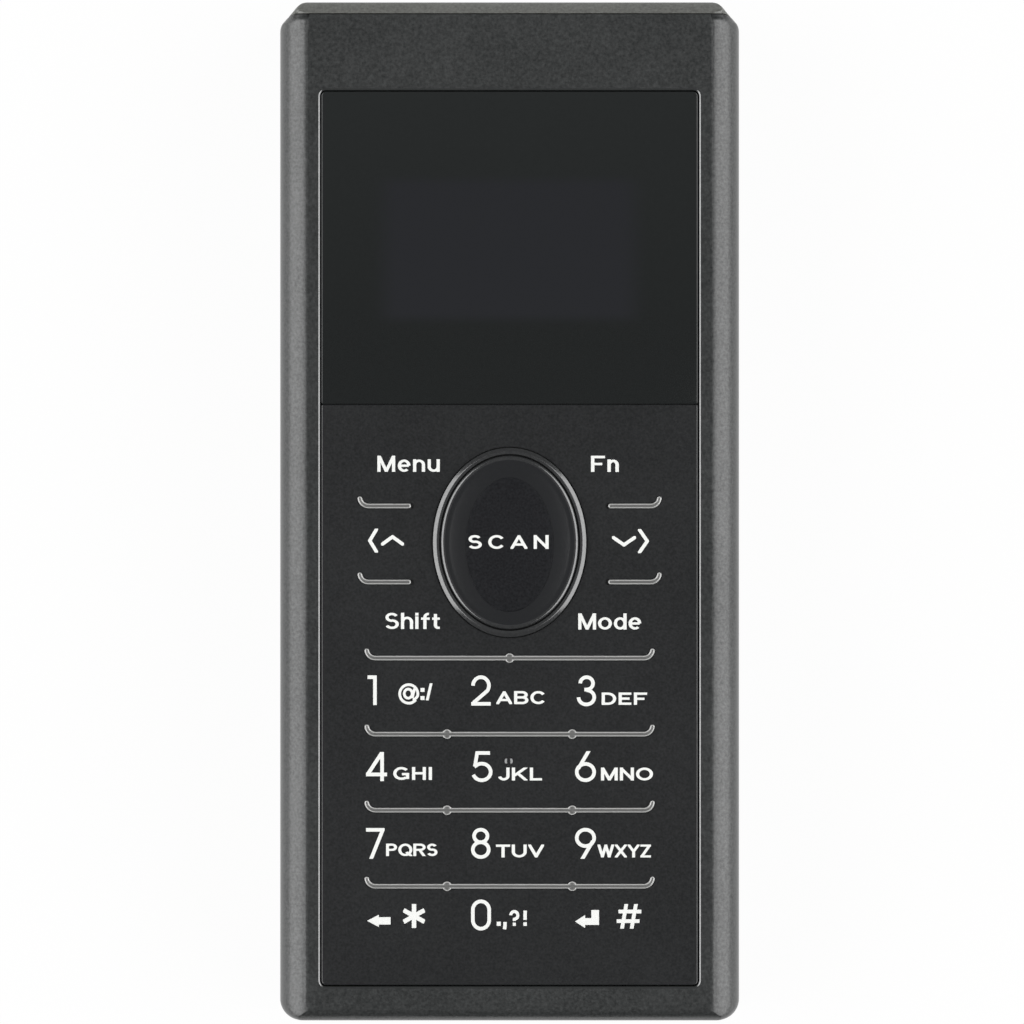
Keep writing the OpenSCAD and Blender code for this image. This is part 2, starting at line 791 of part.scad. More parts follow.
// Flat cable from the back of the scan engine up to the underside of the board
module engine_flex() {
    bend = flex_bend;
    x = flex_w / 2;
    color("#b8782c") {
        along_x(-x, x) translate([engine_y0 - bend, window_z + bend]) difference() {
            intersection() {
                circle(bend);
                translate([-2 * bend, -2 * bend]) square(2 * bend);
            }
            circle(bend - flex_t);
        }
        box([-x, engine_y0 - bend, window_z], [x, engine_y0, window_z + flex_t]);
        box([-x, engine_y0 - 2 * bend, window_z + bend], [x, engine_y0 - 2 * bend + flex_t, board_z0]);
    }
}

// ---- Front recess ---------------------------------------------------------------------------

module display_aperture() {
    plate([-aperture_w / 2, display_y - aperture_l / 2], [aperture_w / 2, display_y + aperture_l / 2], 0.8);
}

module lens_outline() {
    plate([-panel_w / 2, lens_y0], [panel_w / 2, lens_y1], 0.5);
}

module panel_outline() {
    plate([-panel_w / 2, keypad_y0], [panel_w / 2, keypad_y1], 0.5);
}

module display_lens() {
    color("#272829") slab(panel_z0, sheet_z1) lens_outline();
}

module adhesive_frame() {
    color("#1c1c1c") slab(recess_z, panel_z0) difference() {
        plate([-panel_w / 2, keypad_y0], [panel_w / 2, lens_y1], 0.5);
        display_aperture();
        key_openings(key_gap + 0.05);
        translate([0, scan_y]) oval(bore_a + flange_lap + pass_gap, bore_b + flange_lap + pass_gap);
    }
}

module keypad_panel() {
    color("#232425") slab(panel_z0, panel_z1) difference() {
        panel_outline();
        key_openings(key_gap);
        translate([0, scan_y]) oval(bore_a, bore_b);
    }
}

module keypad_sheet() {
    color("#2e2f31") slab(panel_z1, sheet_z1) difference() {
        panel_outline();
        translate([0, scan_y]) oval(ring_a + fit_gap / 2, ring_b + fit_gap / 2);
        ridge_outlines(fit_gap / 2);
    }
}

// ---- Keys -----------------------------------------------------------------------------------

function row_y(row) = ridge_y0 + (row - 0.5) * row_pitch;
function column_w(column) = column == 0 ? middle_plate_w : outer_plate_w;

// Inner edge of the keys beside the scan key: clear of the ring in the middle row
side_key_x0 = ring_a + 2 * plate_clear;
// The keys above and below it reach further in, and the ring's clearance cuts their corners
corner_key_x0 = column_split - column_rib;

function side_x0(row) = row == 5 ? side_key_x0 : corner_key_x0;
function side_centre(row) = (side_x0(row) + keys_half_w) / 2;

module number_plate(column, row, gap = 0) {
    x = column * column_x;
    w = column_w(column) / 2 + gap;
    h = plate_h / 2 + gap;
    plate([x - w, row_y(row) - h], [x + w, row_y(row) + h], plate_r + gap);
}

module side_plate(side, row, gap = 0) {
    w = (keys_half_w - side_x0(row)) / 2 + gap;
    h = plate_h / 2 + gap;
    x = side * side_centre(row);
    clear = plate_clear - gap;
    difference() {
        plate([x - w, row_y(row) - h], [x + w, row_y(row) + h], plate_r + gap);
        translate([0, scan_y]) oval(ring_a + clear, ring_b + clear);
    }
}

module key_openings(gap) {
    for (row = NUMBER_ROWS, column = COLUMNS) number_plate(column, row, gap);
    for (row = SIDE_ROWS, side = SIDES) side_plate(side, row, gap);
}

module at_key_centres() {
    for (row = NUMBER_ROWS, column = COLUMNS) translate([column * column_x, row_y(row), 0]) children();
    for (row = SIDE_ROWS, side = SIDES) translate([side * side_centre(row), row_y(row), 0]) children();
    translate([0, scan_y, 0]) children();
}

module plunger(x, y) {
    translate([x, y, 0]) slab(plunger_z0, panel_z0 + 0.1) circle(d = plunger_d);
}

module number_key(column, row) {
    color("#2e2f31") {
        slab(panel_z0, panel_z1) number_plate(column, row);
        plunger(column * column_x, row_y(row));
    }
}

module side_key(side, row) {
    color("#2e2f31") {
        slab(panel_z0, panel_z1) side_plate(side, row);
        plunger(side * side_centre(row), row_y(row));
    }
}

// Bowl of the scan key: an ellipsoid whose lowest point lies at the bottom of the dish
module scan_bowl() {
    rise = 12 * scan_dish;
    depth = rise + scan_dish;
    spread = 1 / sqrt(1 - pow(rise / depth, 2));
    translate([0, scan_y, scan_top + rise])
        scale([(scan_a - scan_rim) * spread, (scan_b - scan_rim) * spread, depth]) sphere(1);
}

inlay_z0 = scan_top - scan_dish - 0.5;

module key_scan() {
    shoulder = scan_top - 0.45;
    color("#5a5c5f") difference() {
        translate([0, scan_y, 0]) {
            slab(panel_z0, shoulder) oval(scan_a, scan_b);
            oval_bevel(scan_a, scan_b, shoulder, scan_top, scan_rim * 0.6);
            slab(panel_z0 - flange_t, panel_z0) oval(bore_a + flange_lap, bore_b + flange_lap);
            slab(plunger_z0, panel_z0) circle(d = plunger_d);
        }
        scan_bowl();
        translate([0, scan_y - inlay_drop, 0]) slab(inlay_z0, scan_top + over)
            oval(inlay_w / 2 + fit_gap / 2, inlay_l / 2 + fit_gap / 2);
    }
}

module scan_key_inlay() {
    color("#242527") difference() {
        translate([0, scan_y - inlay_drop, 0]) slab(inlay_z0, scan_top) oval(inlay_w / 2, inlay_l / 2);
        scan_bowl();
    }
}

module scan_key_ring() {
    color("#8c8e90") translate([0, scan_y, 0]) difference() {
        union() {
            slab(panel_z1, ring_top - ring_chamfer) oval(ring_a, ring_b);
            oval_bevel(ring_a, ring_b, ring_top - ring_chamfer, ring_top, ring_chamfer);
        }
        slab(panel_z1 - over, body_h + over) oval(bore_a, bore_b);
    }
}

// ---- Ridges ---------------------------------------------------------------------------------

function ridge_y(i) = ridge_y0 + i * row_pitch;

// Outline of one ridge from x0 outwards to x1, where it turns up
module hooked_bar(x0, x1, grow) {
    w = ridge_w / 2 + grow;
    translate([x0 - grow, -w]) square([x1 - x0 + grow + 0.01, 2 * w]);
    translate([x1, hook_r]) intersection() {
        difference() {
            circle(hook_r + w);
            circle(hook_r - w);
        }
        translate([0, -2 * hook_r]) square([2 * hook_r, 2 * hook_r]);
    }
    translate([x1 + hook_r - w, hook_r - 0.01]) square([2 * w, 0.2 + grow]);
}

module ridge_outlines(grow = 0) {
    for (side = SIDES) mirror([side < 0 ? 1 : 0, 0]) {
        for (i = [0:3]) translate([0, ridge_y(i)]) hooked_bar(-0.01, long_ridge_x, grow);
        for (i = [4, 5]) translate([0, ridge_y(i)]) hooked_bar(short_ridge_x, long_ridge_x + 0.75, grow);
        for (i = [0:2]) translate([column_split, ridge_y(i)]) circle(d = stud_d + 2 * grow);
    }
    translate([0, ridge_y(3)]) circle(d = stud_d + 2 * grow);
}

module key_ridges() {
    color("#a6a8a9") slab(panel_z1, sheet_z1 + ridge_rise) ridge_outlines();
}

// ---- Circuit board --------------------------------------------------------------------------

module main_board() {
    color("#1d5a3c") slab(board_z0, board_z1) difference() {
        plate([-board_w / 2, board_y0], [board_w / 2, board_y1], 1);
        for (side = SIDES, y = boss_ys) translate([side * boss_x, y]) circle(d = boss_d + 2 * pass_gap);
        for (spot = standoffs) translate([spot.x, spot.y]) circle(d = board_screw_d + 2 * fit_gap);
    }
}

module dome_sheet() {
    margin = 2.4;
    color("#c9cdd0") slab(board_z1, board_z1 + dome_sheet_t) difference() {
        plate([-keys_half_w - 0.5, row_y(0) - plate_h / 2], [keys_half_w + 0.5, row_y(6) + margin], 1);
        at_key_centres() circle(d = dome_d + 2 * fit_gap);
    }
}

// Dished spring disc: a thin arc, turned
module dome() {
    steps = 5;
    r = dome_d / 2;
    top = [for (i = [0:steps]) [r * i / steps, dome_h * (1 - pow(i / steps, 2))]];
    under = [for (i = [steps:-1:0]) [top[i].x * (1 - dome_t / r), max(0, top[i].y - dome_t)]];
    rotate_extrude() polygon(concat(top, under));
}

module metal_domes() {
    color("#c8ccd2") translate([0, 0, board_z1]) at_key_centres() dome();
}

// Box of the given size under the board, with its corner nearest the middle and the top at the given spot
module hanging_box(spot, size) {
    translate([spot.x, spot.y - size.y, board_z0 - size.z]) cube(size);
}

module board_chips() {
    beside_x = chip_size.x / 2 + part_gap;
    row_y = chip_y - chip_size.y + small_part_size.y;
    color("#202226") {
        hanging_box([-chip_size.x / 2, chip_y], chip_size);
        hanging_box([beside_x, chip_y - part_gap], power_chip_size);
        for (i = [0:4]) hanging_box([beside_x + 2 * i * small_part_size.x, row_y], small_part_size);
    }
}

module display_glass() {
    x = aperture_w / 2 + glass_lap;
    y = aperture_l / 2 + glass_lap;
    color("#1f2630") slab(floor_z0 - glass_t, floor_z0) plate([-x, display_y - y], [x, display_y + y], 0.3);
}

module display_frame() {
    x = aperture_w / 2 + glass_lap + fit_gap;
    y = aperture_l / 2 + glass_lap + fit_gap;
    color("#e4e4e0") difference() {
        slab(board_z1, floor_z0)
            plate([-x - frame_t, display_y - y - frame_t], [x + frame_t, display_y + y + frame_t], 0.5);
        slab(floor_z0 - glass_t, floor_z0 + over) plate([-x, display_y - y], [x, display_y + y], 0.3);
        at_standoffs() slab(board_z1 - over, floor_z0 + over) circle(d = standoff_d + 2 * fit_gap);
    }
}

module beeper() {
    color("#1a1a1a") translate([0, beeper_y, 0]) difference() {
        slab(board_z0 - beeper_h, board_z0) circle(d = beeper_d);
        slab(board_z0 - beeper_h - over, board_z0 - beeper_h + 0.8) circle(d = 2);
    }
}

module radio_module() {
    half = radio_size / 2;
    color("#1d4a7a") slab(board_z0 - radio_t, board_z0)
        plate([-half, radio_y - half], [half, radio_y + half], 0.5);
}

module radio_shield() {
    half = radio_size / 2 - radio_edge;
    top = board_z0 - radio_t;
    low = [-half, radio_y - half, top - shield_h];
    high = [half, radio_y + half - 2.5 * radio_edge, top];
    t = shield_t;
    color("#c4c6c8") difference() {
        box(low, high);
        box(low + [t, t, t], high + [-t, -t, over]);
    }
}

module data_socket() {
    y0 = socket_y0;
    inner_w = socket_w - 2 * socket_t;
    inner_h = socket_h - 2 * socket_t;
    color("#b9bcbf") translate([0, 0, board_z0]) difference() {
        box([-socket_w / 2, y0, -socket_h], [socket_w / 2, y0 + socket_l, 0]);
        difference() {
            box([-inner_w / 2, y0 - over, -socket_h + socket_t],
                [inner_w / 2, y0 + 0.8 * socket_l, -socket_t]);
            // Tongue that carries the socket's contacts
            translate([0, 0, -socket_h / 2]) box([-0.37 * inner_w, y0 + 0.1 * socket_l, -inner_h / 8],
                [0.37 * inner_w, y0 + socket_l, inner_h / 8]);
        }
    }
}

// ---- Fasteners ------------------------------------------------------------------------------

module case_screws() {
    color("#2a2a2c") at_bosses() difference() {
        union() {
            slab(head_depth - head_h, head_depth) circle(d = head_d);
            slab(head_depth - 0.1, insert_z1 - 0.3) circle(d = screw_d);
        }
        slab(head_depth - head_h - over, head_depth - head_h / 2) circle(d = screw_d * 0.6, $fn = 6);
    }
}

module screw_inserts() {
    color("#c9a24a") at_bosses() slab(parting_h, insert_z1) difference() {
        circle(d = insert_d);
        circle(d = screw_d);
    }
}

module board_screws() {
    color("#b5b8ba") at_standoffs() {
        slab(board_z0 - board_head_h, board_z0) circle(d = board_head_d);
        slab(board_z0 - 0.1, board_z0 + board_screw_l) circle(d = board_screw_d);
    }
}

front_shell();
rear_shell();
scan_head_cap();
scan_window();
window_gasket();
display_lens();
adhesive_frame();
keypad_panel();
keypad_sheet();
key_ridges();
scan_key_ring();
key_scan();
scan_key_inlay();
number_key(-1, 0);  // key_star
number_key(0, 0);  // key_0
number_key(1, 0);  // key_hash
number_key(-1, 1);  // key_7
number_key(0, 1);  // key_8
number_key(1, 1);  // key_9
number_key(-1, 2);  // key_4
number_key(0, 2);  // key_5
number_key(1, 2);  // key_6
number_key(-1, 3);  // key_1
number_key(0, 3);  // key_2
number_key(1, 3);  // key_3
side_key(-1, 4);  // key_shift
side_key(1, 4);  // key_mode
side_key(-1, 5);  // key_left
side_key(1, 5);  // key_right
side_key(-1, 6);  // key_menu
side_key(1, 6);  // key_function
dome_sheet();
metal_domes();
main_board();
board_chips();
display_glass();
display_frame();
scan_engine();
scan_engine_lens();
engine_cradle();
engine_flex();
beeper();
radio_module();
radio_shield();
data_socket();
battery();
battery_contacts();
battery_door();
case_screws();
screw_inserts();
board_screws();
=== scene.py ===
import json
import math

import bmesh
import bpy
from bpy.props import FloatProperty, FloatVectorProperty, IntProperty, PointerProperty
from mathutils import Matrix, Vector
from mathutils.geometry import delaunay_2d_cdt


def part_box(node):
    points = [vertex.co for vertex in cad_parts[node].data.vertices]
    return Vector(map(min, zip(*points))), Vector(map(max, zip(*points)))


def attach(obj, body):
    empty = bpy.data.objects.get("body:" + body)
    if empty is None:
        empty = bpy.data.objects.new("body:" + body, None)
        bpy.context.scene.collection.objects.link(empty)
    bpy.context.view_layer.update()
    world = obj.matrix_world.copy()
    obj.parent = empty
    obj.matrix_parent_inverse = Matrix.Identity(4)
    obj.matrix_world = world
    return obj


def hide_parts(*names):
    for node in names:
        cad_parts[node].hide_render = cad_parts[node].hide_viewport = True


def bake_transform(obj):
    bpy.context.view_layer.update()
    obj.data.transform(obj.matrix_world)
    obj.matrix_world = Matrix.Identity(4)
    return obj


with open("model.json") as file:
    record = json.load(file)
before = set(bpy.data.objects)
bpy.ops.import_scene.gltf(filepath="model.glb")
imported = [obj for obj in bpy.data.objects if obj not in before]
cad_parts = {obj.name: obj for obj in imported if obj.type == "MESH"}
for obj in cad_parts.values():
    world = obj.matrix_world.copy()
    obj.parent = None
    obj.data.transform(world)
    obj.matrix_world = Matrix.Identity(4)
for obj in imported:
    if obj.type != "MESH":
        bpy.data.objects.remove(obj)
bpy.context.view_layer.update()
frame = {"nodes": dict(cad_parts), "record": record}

bl_info = {
    "name": "Barcode Data Collector",
    "version": (1, 0, 0),
    "blender": (4, 5, 0),
    "location": "View3D > Sidebar > Collector",
    "description": "Builds a pocket barcode data collector round its packed construction",
    "category": "Object",
}

MM = 0.001

# Points round the gap of the scan key's ring, and round small circles
RING_FACETS = 120
SMALL_FACETS = 24
# How far raised pieces reach down into the sheet, and printed ink into what it lies on
SINK = 0.05 * MM
INK_SINK = 0.01 * MM
# Slow changes in every finish: their size in millimetres, and their share next to the grain
CLOUD_SIZE = 9
CLOUD_SHARE = 0.2
ACRYLIC_IOR = 1.49

# Keys from the socket end to the display: columns from left to right
NUMBER_ROWS = (("key_star", "key_0", "key_hash"), ("key_7", "key_8", "key_9"),
               ("key_4", "key_5", "key_6"), ("key_1", "key_2", "key_3"))
SIDE_ROWS = (("key_shift", "key_mode"), ("key_left", "key_right"), ("key_menu", "key_function"))
PLATE_KEYS = [key for row in NUMBER_ROWS + SIDE_ROWS for key in row]


def linear(code):
    """Linear colour of an sRGB hex code."""
    parts = [int(code[i:i + 2], 16) / 255 for i in (0, 2, 4)]
    return [c / 12.92 if c <= 0.04045 else ((c + 0.055) / 1.055) ** 2.4 for c in parts]


# ---- Settings -------------------------------------------------------------------------------

def length(name, description, millimetres):
    return FloatProperty(name=name, description=description, default=millimetres * MM, min=0.0,
                         unit="LENGTH", subtype="DISTANCE", precision=5)


def colour(name, description, code):
    return FloatVectorProperty(name=name, description=description, default=linear(code), size=3,
                               min=0.0, max=1.0, subtype="COLOR")


class HousingSettings(bpy.types.PropertyGroup):
    """Sizes and colours of the housing"""
    skin: length("Skin", "How far the finished skin lies inside the construction", 0.02)
    front_round: length("Front rounding", "Radius of the long front edges", 3.4)
    back_round: length("Back rounding", "Radius of the long back edges", 4.0)
    end_run: length("End edges", "How far the edges at both ends reach in over the face", 1.1)
    corner: length("Corners", "Radius of the corners at the socket end, in plan", 2.3)
    cut_width: length("Cut width", "Width of the cut corners at the scan head, in plan", 2.25)
    cut_length: length("Cut length", "Length of the cut corners at the scan head, in plan", 2.6)
    edge: length("Edges", "Width of the small bevels on cut edges", 0.08)
    lip_round: length("Lip rounding", "Radius of the lip round the recess", 0.28)
    recess_gap: length("Recess gap", "Gap between the keypad panel and the recess", 0.09)
    recess_corner: length("Recess corners", "Radius of the keypad panel's corners", 0.5)
    shell_colour: colour("Shells", "Moulded plastic of both shells", "262828")
    cap_colour: colour("Cap", "Moulded plastic of the scan head's cap", "565753")
    window_colour: colour("Window", "Dyed acrylic of the scan window", "5A0B0D")


class DisplaySettings(bpy.types.PropertyGroup):
    """Sizes and colours of the display lens"""
    bevel: length("Bevel", "Bevel round the lens", 0.12)
    corner: length("Corners", "Radius of the lens's corners at the scan head", 0.5)
    low_corner: length("Low corners", "Radius of the corners that meet the keypad", 0.2)
    reach: length("Reach", "How far the lens's bevel reaches over the gap to the keypad", 0.04)
    lens_colour: colour("Lens", "Black print behind the lens", "1F2121")
    area_colour: colour("Display", "Display that shows faintly through the lens", "232427")


class KeypadSettings(bpy.types.PropertyGroup):
    """Sizes and colours of the keypad sheet, its ridges and its legends"""
    slope: length("Slope", "Width of the sheet that bends round a pressed key", 0.6)
    slope_steps: IntProperty(name="Slope steps", description="Faces across that bend", default=5, min=2)
    ridge_width: length("Ridge width", "Width of the ridges between the rows", 0.51)
    hook_radius: length("Hook radius", "Radius at which a ridge turns up", 0.95)
    hook_end: length("Hook end", "Straight end of a ridge's hook", 0.1)
    groove: length("Groove", "Gap in the sheet round each ridge", 0.06)
    edge: length("Edge", "Rounding of the sheet's edge", 0.15)
    reach: length("Reach", "How far the sheet reaches over the gap to the lens", 0.04)
    stud_diameter: length("Stud diameter", "Diameter of the studs on the ridges", 1.04)
    print_height: length("Print height", "Thickness of the printed ink", 0.015)
    sheet_colour: colour("Sheet", "Matt film of the keypad", "1E1F20")
    # The ridges' flanks show this silver as a painted highlight, and their crown shows a painted shade of it
    ridge_colour: colour("Ridges", "Silver of the ridges", "D8D8D6")
    ink_colour: colour("Ink", "White ink of the legends", "E8E9E6")


class ScanKeySettings(bpy.types.PropertyGroup):
    """Sizes and colours of the scan key and its ring"""
    rim: length("Rim", "Width of the key's bevelled rim", 0.85)
    dish: length("Dish", "Depth of the dish in the key", 0.35)
    crest: length("Crest", "Width over which the key's edge is rounded", 0.36)
    trim: length("Lacquered rim", "Width of the lacquered rim round the key's edge", 0.48)
    ring_width: length("Ring width", "Width of the ring round the key", 0.75)
    ring_gap: length("Ring gap", "Gap between the key and the ring", 0.14)
    facets: IntProperty(name="Facets", description="Faces round the ovals", default=128, min=32)
    key_colour: colour("Key", "Moulded plastic of the scan key", "1C1D1F")
    ring_colour: colour("Ring", "Lacquered plastic of the ring and the key's rim", "292A2B")
    inlay_colour: colour("Inlay", "Matt rubber of the inlay", "131417")


class StageSettings(bpy.types.PropertyGroup):
    """Camera, light and floor"""
    view_height: length("View height", "Height of the view at the front face", 111.2)
    view_x: FloatProperty(name="View X", description="Middle of the view", default=0.26 * MM,
                          unit="LENGTH", subtype="DISTANCE")
    view_y: FloatProperty(name="View Y", description="Middle of the view", default=-0.065 * MM,
                          unit="LENGTH", subtype="DISTANCE")
    camera_distance: length("Camera distance", "From the camera to the front face", 1200)
    side_light: FloatProperty(name="Side lights", description="Radiance of the side lights",
                              default=2.52, min=0.0)
    side_width: length("Side width", "Length of the side lights along the housing", 1560)
    side_rise: length("Side rise", "Height of the side lights", 1200)
    sky_light: FloatProperty(name="Sky", description="Radiance of the sky half way up", default=0.15,
                             min=0.0)
    side_height: FloatProperty(name="Side height", description="Height of the side lights in degrees",
                               default=35.0, min=0.0, max=90.0)
    floor_white: FloatProperty(name="Floor white", description="Share of plain white in the floor as seen",
                               default=0.95, min=0.0, max=1.0)
    floor_colour: colour("Floor", "Pale paper of the floor", "F0F0EE")


class CollectorSettings(bpy.types.PropertyGroup):
    """Everything that a user would change"""
    housing: PointerProperty(type=HousingSettings)
    display: PointerProperty(type=DisplaySettings)
    keypad: PointerProperty(type=KeypadSettings)
    scan_key: PointerProperty(type=ScanKeySettings)
    stage: PointerProperty(type=StageSettings)


# ---- Outlines and meshes --------------------------------------------------------------------

def arc(cx, cy, rx, ry, start, end, steps=8):
    """Points along part of an ellipse, between two angles in degrees."""
    angles = [math.radians(start + (end - start) * i / steps) for i in range(steps + 1)]
    return [(cx + rx * math.cos(a), cy + ry * math.sin(a)) for a in angles]


def oval(cx, cy, rx, ry, count):
    """Closed ellipse of the given number of points."""
    return arc(cx, cy, rx, ry, 0, 360 - 360 / count, count - 1)


def quarter(radius, steps=8):
    """Insets and drops of an edge rounded with a quarter circle, from its side up to its top."""
    angles = [math.radians(90 * step / steps) for step in range(steps + 1)]
    return [(radius * (1 - math.cos(angle)), radius * (1 - math.sin(angle))) for angle in angles]


def rounded(low, high, radius):
    """Outline of a rectangle with rounded corners."""
    outline = []
    for side_x, side_y, start in ((1, -1, 270), (1, 1, 0), (-1, 1, 90), (-1, -1, 180)):
        cx = high[0] - radius if side_x > 0 else low[0] + radius
        cy = high[1] - radius if side_y > 0 else low[1] + radius
        outline += arc(cx, cy, radius, radius, start, start + 90)
    return outline


def rounded_ends(low, high, low_radius, high_radius):
    """Outline of a rectangle with one radius at its low end and another at its high end, along Y."""
    lower, upper = rounded(low, high, low_radius), rounded(low, high, high_radius)
    n = len(lower) // 4
    return lower[:n] + upper[n:3 * n] + lower[3 * n:]


def inset_outline(low, high, low_radius, high_radius, inset):
    """The same with every edge moved inwards and the radii reduced to match."""
    return rounded_ends((low.x + inset, low.y + inset), (high.x - inset, high.y - inset),
                        low_radius - inset, high_radius - inset)


def at_height(outline, z):
    return [(x, y, z) for x, y in outline]


def to_object(name, mesh, material=None):
    """Object from a bmesh, with its faces turned outwards."""
    bmesh.ops.recalc_face_normals(mesh, faces=mesh.faces)
    data = bpy.data.meshes.new(name)
    mesh.to_mesh(data)
    mesh.free()
    piece = bpy.data.objects.new(name, data)
    bpy.context.scene.collection.objects.link(piece)
    if material:
        data.materials.append(material)
    return piece


def smooth(piece, angle=35):
    """Shades a piece smooth, except across edges sharper than the given angle in degrees."""
    piece.data.polygons.foreach_set("use_smooth", [True] * len(piece.data.polygons))
    piece.data.set_sharp_from_angle(angle=math.radians(angle))
    return piece


def loft(name, rings, material, poles=(None, None), looped=False):
    """Skin over rings of equally many points, closed by flat ends, by poles or by its first ring."""
    mesh = bmesh.new()
    loops = [[mesh.verts.new(point) for point in ring] for ring in rings]
    for low, high in zip(loops, loops[1:] + loops[:1] if looped else loops[1:]):
        for i in range(len(low)):
            j = (i + 1) % len(low)
            mesh.faces.new((low[i], low[j], high[j], high[i]))
    for loop, pole in () if looped else zip((loops[0], loops[-1]), poles):
        if pole is None:
            mesh.faces.new(loop)
            continue
        centre = mesh.verts.new(pole)
        for i in range(len(loop)):
            mesh.faces.new((loop[i], loop[(i + 1) % len(loop)], centre))
    return smooth(to_object(name, mesh, material))


def region(solid, holes=(), clip=None):
    """Triangles inside any of the solid outlines, inside the clip outline and outside the holes."""
    outlines = list(solid) + list(holes) + ([clip] if clip else [])
    points = []
    faces = []
    for outline in outlines:
        turn = sum(a[0] * b[1] - a[1] * b[0] for a, b in zip(outline, outline[1:] + outline[:1]))
        faces.append(list(range(len(points), len(points) + len(outline))))
        points += [Vector(point[:2]) / MM for point in (outline if turn > 0 else reversed(outline))]
    # The triangulation works in millimetres and keeps, for each triangle, the outlines that it is in
    same = 1e-5
    corners, _, found, _, _, origins = delaunay_2d_cdt(points, [], faces, 1, same)
    triangles = []
    for triangle, inside in zip(found, origins):
        solid_here = any(i < len(solid) for i in inside)
        hole_here = any(len(solid) <= i < len(solid) + len(holes) for i in inside)
        if solid_here and not hole_here and (not clip or len(outlines) - 1 in inside):
            triangles.append(triangle)
    return [corner * MM for corner in corners], triangles


def prism(name, flat, z0, z1, material, height=None):
    """Solid between two heights over flat triangles; height adds a surface to both of them."""
    points, triangles = flat
    height = height or (lambda point: 0.0)
    mesh = bmesh.new()
    used = sorted({i for triangle in triangles for i in triangle})
    low = {i: mesh.verts.new((*points[i], z0 + height(points[i]))) for i in used}
    high = {i: mesh.verts.new((*points[i], z1 + height(points[i]))) for i in used}
    edges = {}
    for triangle in triangles:
        mesh.faces.new([high[i] for i in triangle])
        mesh.faces.new([low[i] for i in reversed(triangle)])
        for i, j in zip(triangle, triangle[1:] + triangle[:1]):
            edges[frozenset((i, j))] = None if frozenset((i, j)) in edges else (i, j)
    for pair in edges.values():
        if pair:
            i, j = pair
            mesh.faces.new((low[i], low[j], high[j], high[i]))
    return to_object(name, mesh, material)


def apply_modifiers(piece):
    """Keeps what a piece's modifiers make of it as its plain mesh."""
    graph = bpy.context.evaluated_depsgraph_get()
    data = bpy.data.meshes.new_from_object(piece.evaluated_get(graph), depsgraph=graph)
    data.name = piece.name
    piece.modifiers.clear()
    piece.data = data
    return piece


def add_modifier(piece, kind, **settings):
    modifier = piece.modifiers.new(kind.title(), kind)
    for setting, value in settings.items():
        setattr(modifier, setting, value)
    return modifier


def copy_node(node, name, material):
    """Copy of a construction node as one joined skin, which stands for that node."""
    mesh = bmesh.new()
    mesh.from_mesh(frame["nodes"][node].data)
    same = 0.0005 * MM
    bmesh.ops.remove_doubles(mesh, verts=mesh.verts, dist=same)
    bmesh.ops.dissolve_degenerate(mesh, edges=mesh.edges, dist=same)
    piece = to_object(name, mesh, material)
    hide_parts(node)
    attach(piece, body_of(node))
    return piece


def level_shading(piece, angle):
    """Smooth shading, in which large flat faces stay flat, except across edges above the angle."""
    smooth(piece, angle)
    add_modifier(piece, "WEIGHTED_NORMAL", keep_sharp=True, weight=90)
    return apply_modifiers(piece)


def soften(piece, width):
    """Small bevels on the cut edges of a piece."""
    add_modifier(piece, "BEVEL", width=width, segments=2, limit_method="ANGLE",
                 angle_limit=math.radians(40), use_clamp_overlap=True, harden_normals=False)
    apply_modifiers(piece)
    return level_shading(piece, 60)


def body_of(node):
    bodies = frame["record"]["behaviour"]["bodies"]
    return next(body for body, nodes in bodies.items() if node in nodes)


def slot_of(node):
    return frame["nodes"][node].material_slots[0].material.name.split(".")[0]


# ---- Materials ------------------------------------------------------------------------------

def add(tree, kind, values=None, **settings):
    """Adds a node; values sets its inputs, each to a value or to another node's output."""
    item = tree.nodes.new(kind)
    for setting, value in settings.items():
        setattr(item, setting, value)
    for name, value in (values or {}).items():
        if isinstance(value, bpy.types.NodeSocket):
            tree.links.new(value, item.inputs[name])
        else:
            item.inputs[name].default_value = value
    return item


def start_material(name):
    """Empty material with its node tree and the object coordinates that its patterns read."""
    material = bpy.data.materials.new(name)
    material.use_nodes = True
    tree = material.node_tree
    tree.nodes.clear()
    place = add(tree, "ShaderNodeTexCoord").outputs["Object"]
    return material, tree, place


def finish_material(material, tree, values):
    shader = add(tree, "ShaderNodeBsdfPrincipled", values)
    add(tree, "ShaderNodeOutputMaterial", {"Surface": shader.outputs["BSDF"]})
    return material


def calc(tree, operation, *values, **settings):
    """Result of a sum on one or two values."""
    return add(tree, "ShaderNodeMath", dict(enumerate(values)), operation=operation, **settings).outputs[0]


def noise(tree, place, size, **values):
    """Noise with features of about the given size in millimetres."""
    return add(tree, "ShaderNodeTexNoise", {
        "Vector": place, "Scale": 1 / (size * MM), **values}).outputs["Fac"]


def remap(tree, value, low, high, start=0.0, end=1.0, **settings):
    """Leads a value that runs from start to end over to one that runs from low to high."""
    return add(tree, "ShaderNodeMapRange", {
        "Value": value, "From Min": start, "From Max": end, "To Min": low, "To Max": high},
        **settings).outputs["Result"]


def mix_values(tree, share, low, high):
    """Value between two others; inputs 2 and 3 are the mix node's pair of values."""
    return add(tree, "ShaderNodeMix", {"Factor": share, 2: low, 3: high}).outputs[0]


def mix_tints(tree, share, low, high):
    """Colour between two others; inputs 6 and 7 are the mix node's pair of colours."""
    return add(tree, "ShaderNodeMix", {"Factor": share, 6: low, 7: high}, data_type="RGBA").outputs[2]


def relief_of(tree, height, depth):
    """Normal of a relief with a depth in millimetres."""
    return add(tree, "ShaderNodeBump", {
        "Height": height, "Strength": 1.0, "Distance": depth * MM}).outputs["Normal"]


def shade(colour, factor=1.0):
    """A colour made lighter or darker, with full alpha."""
    return [min(1.0, c * factor) for c in colour[:3]] + [1.0]


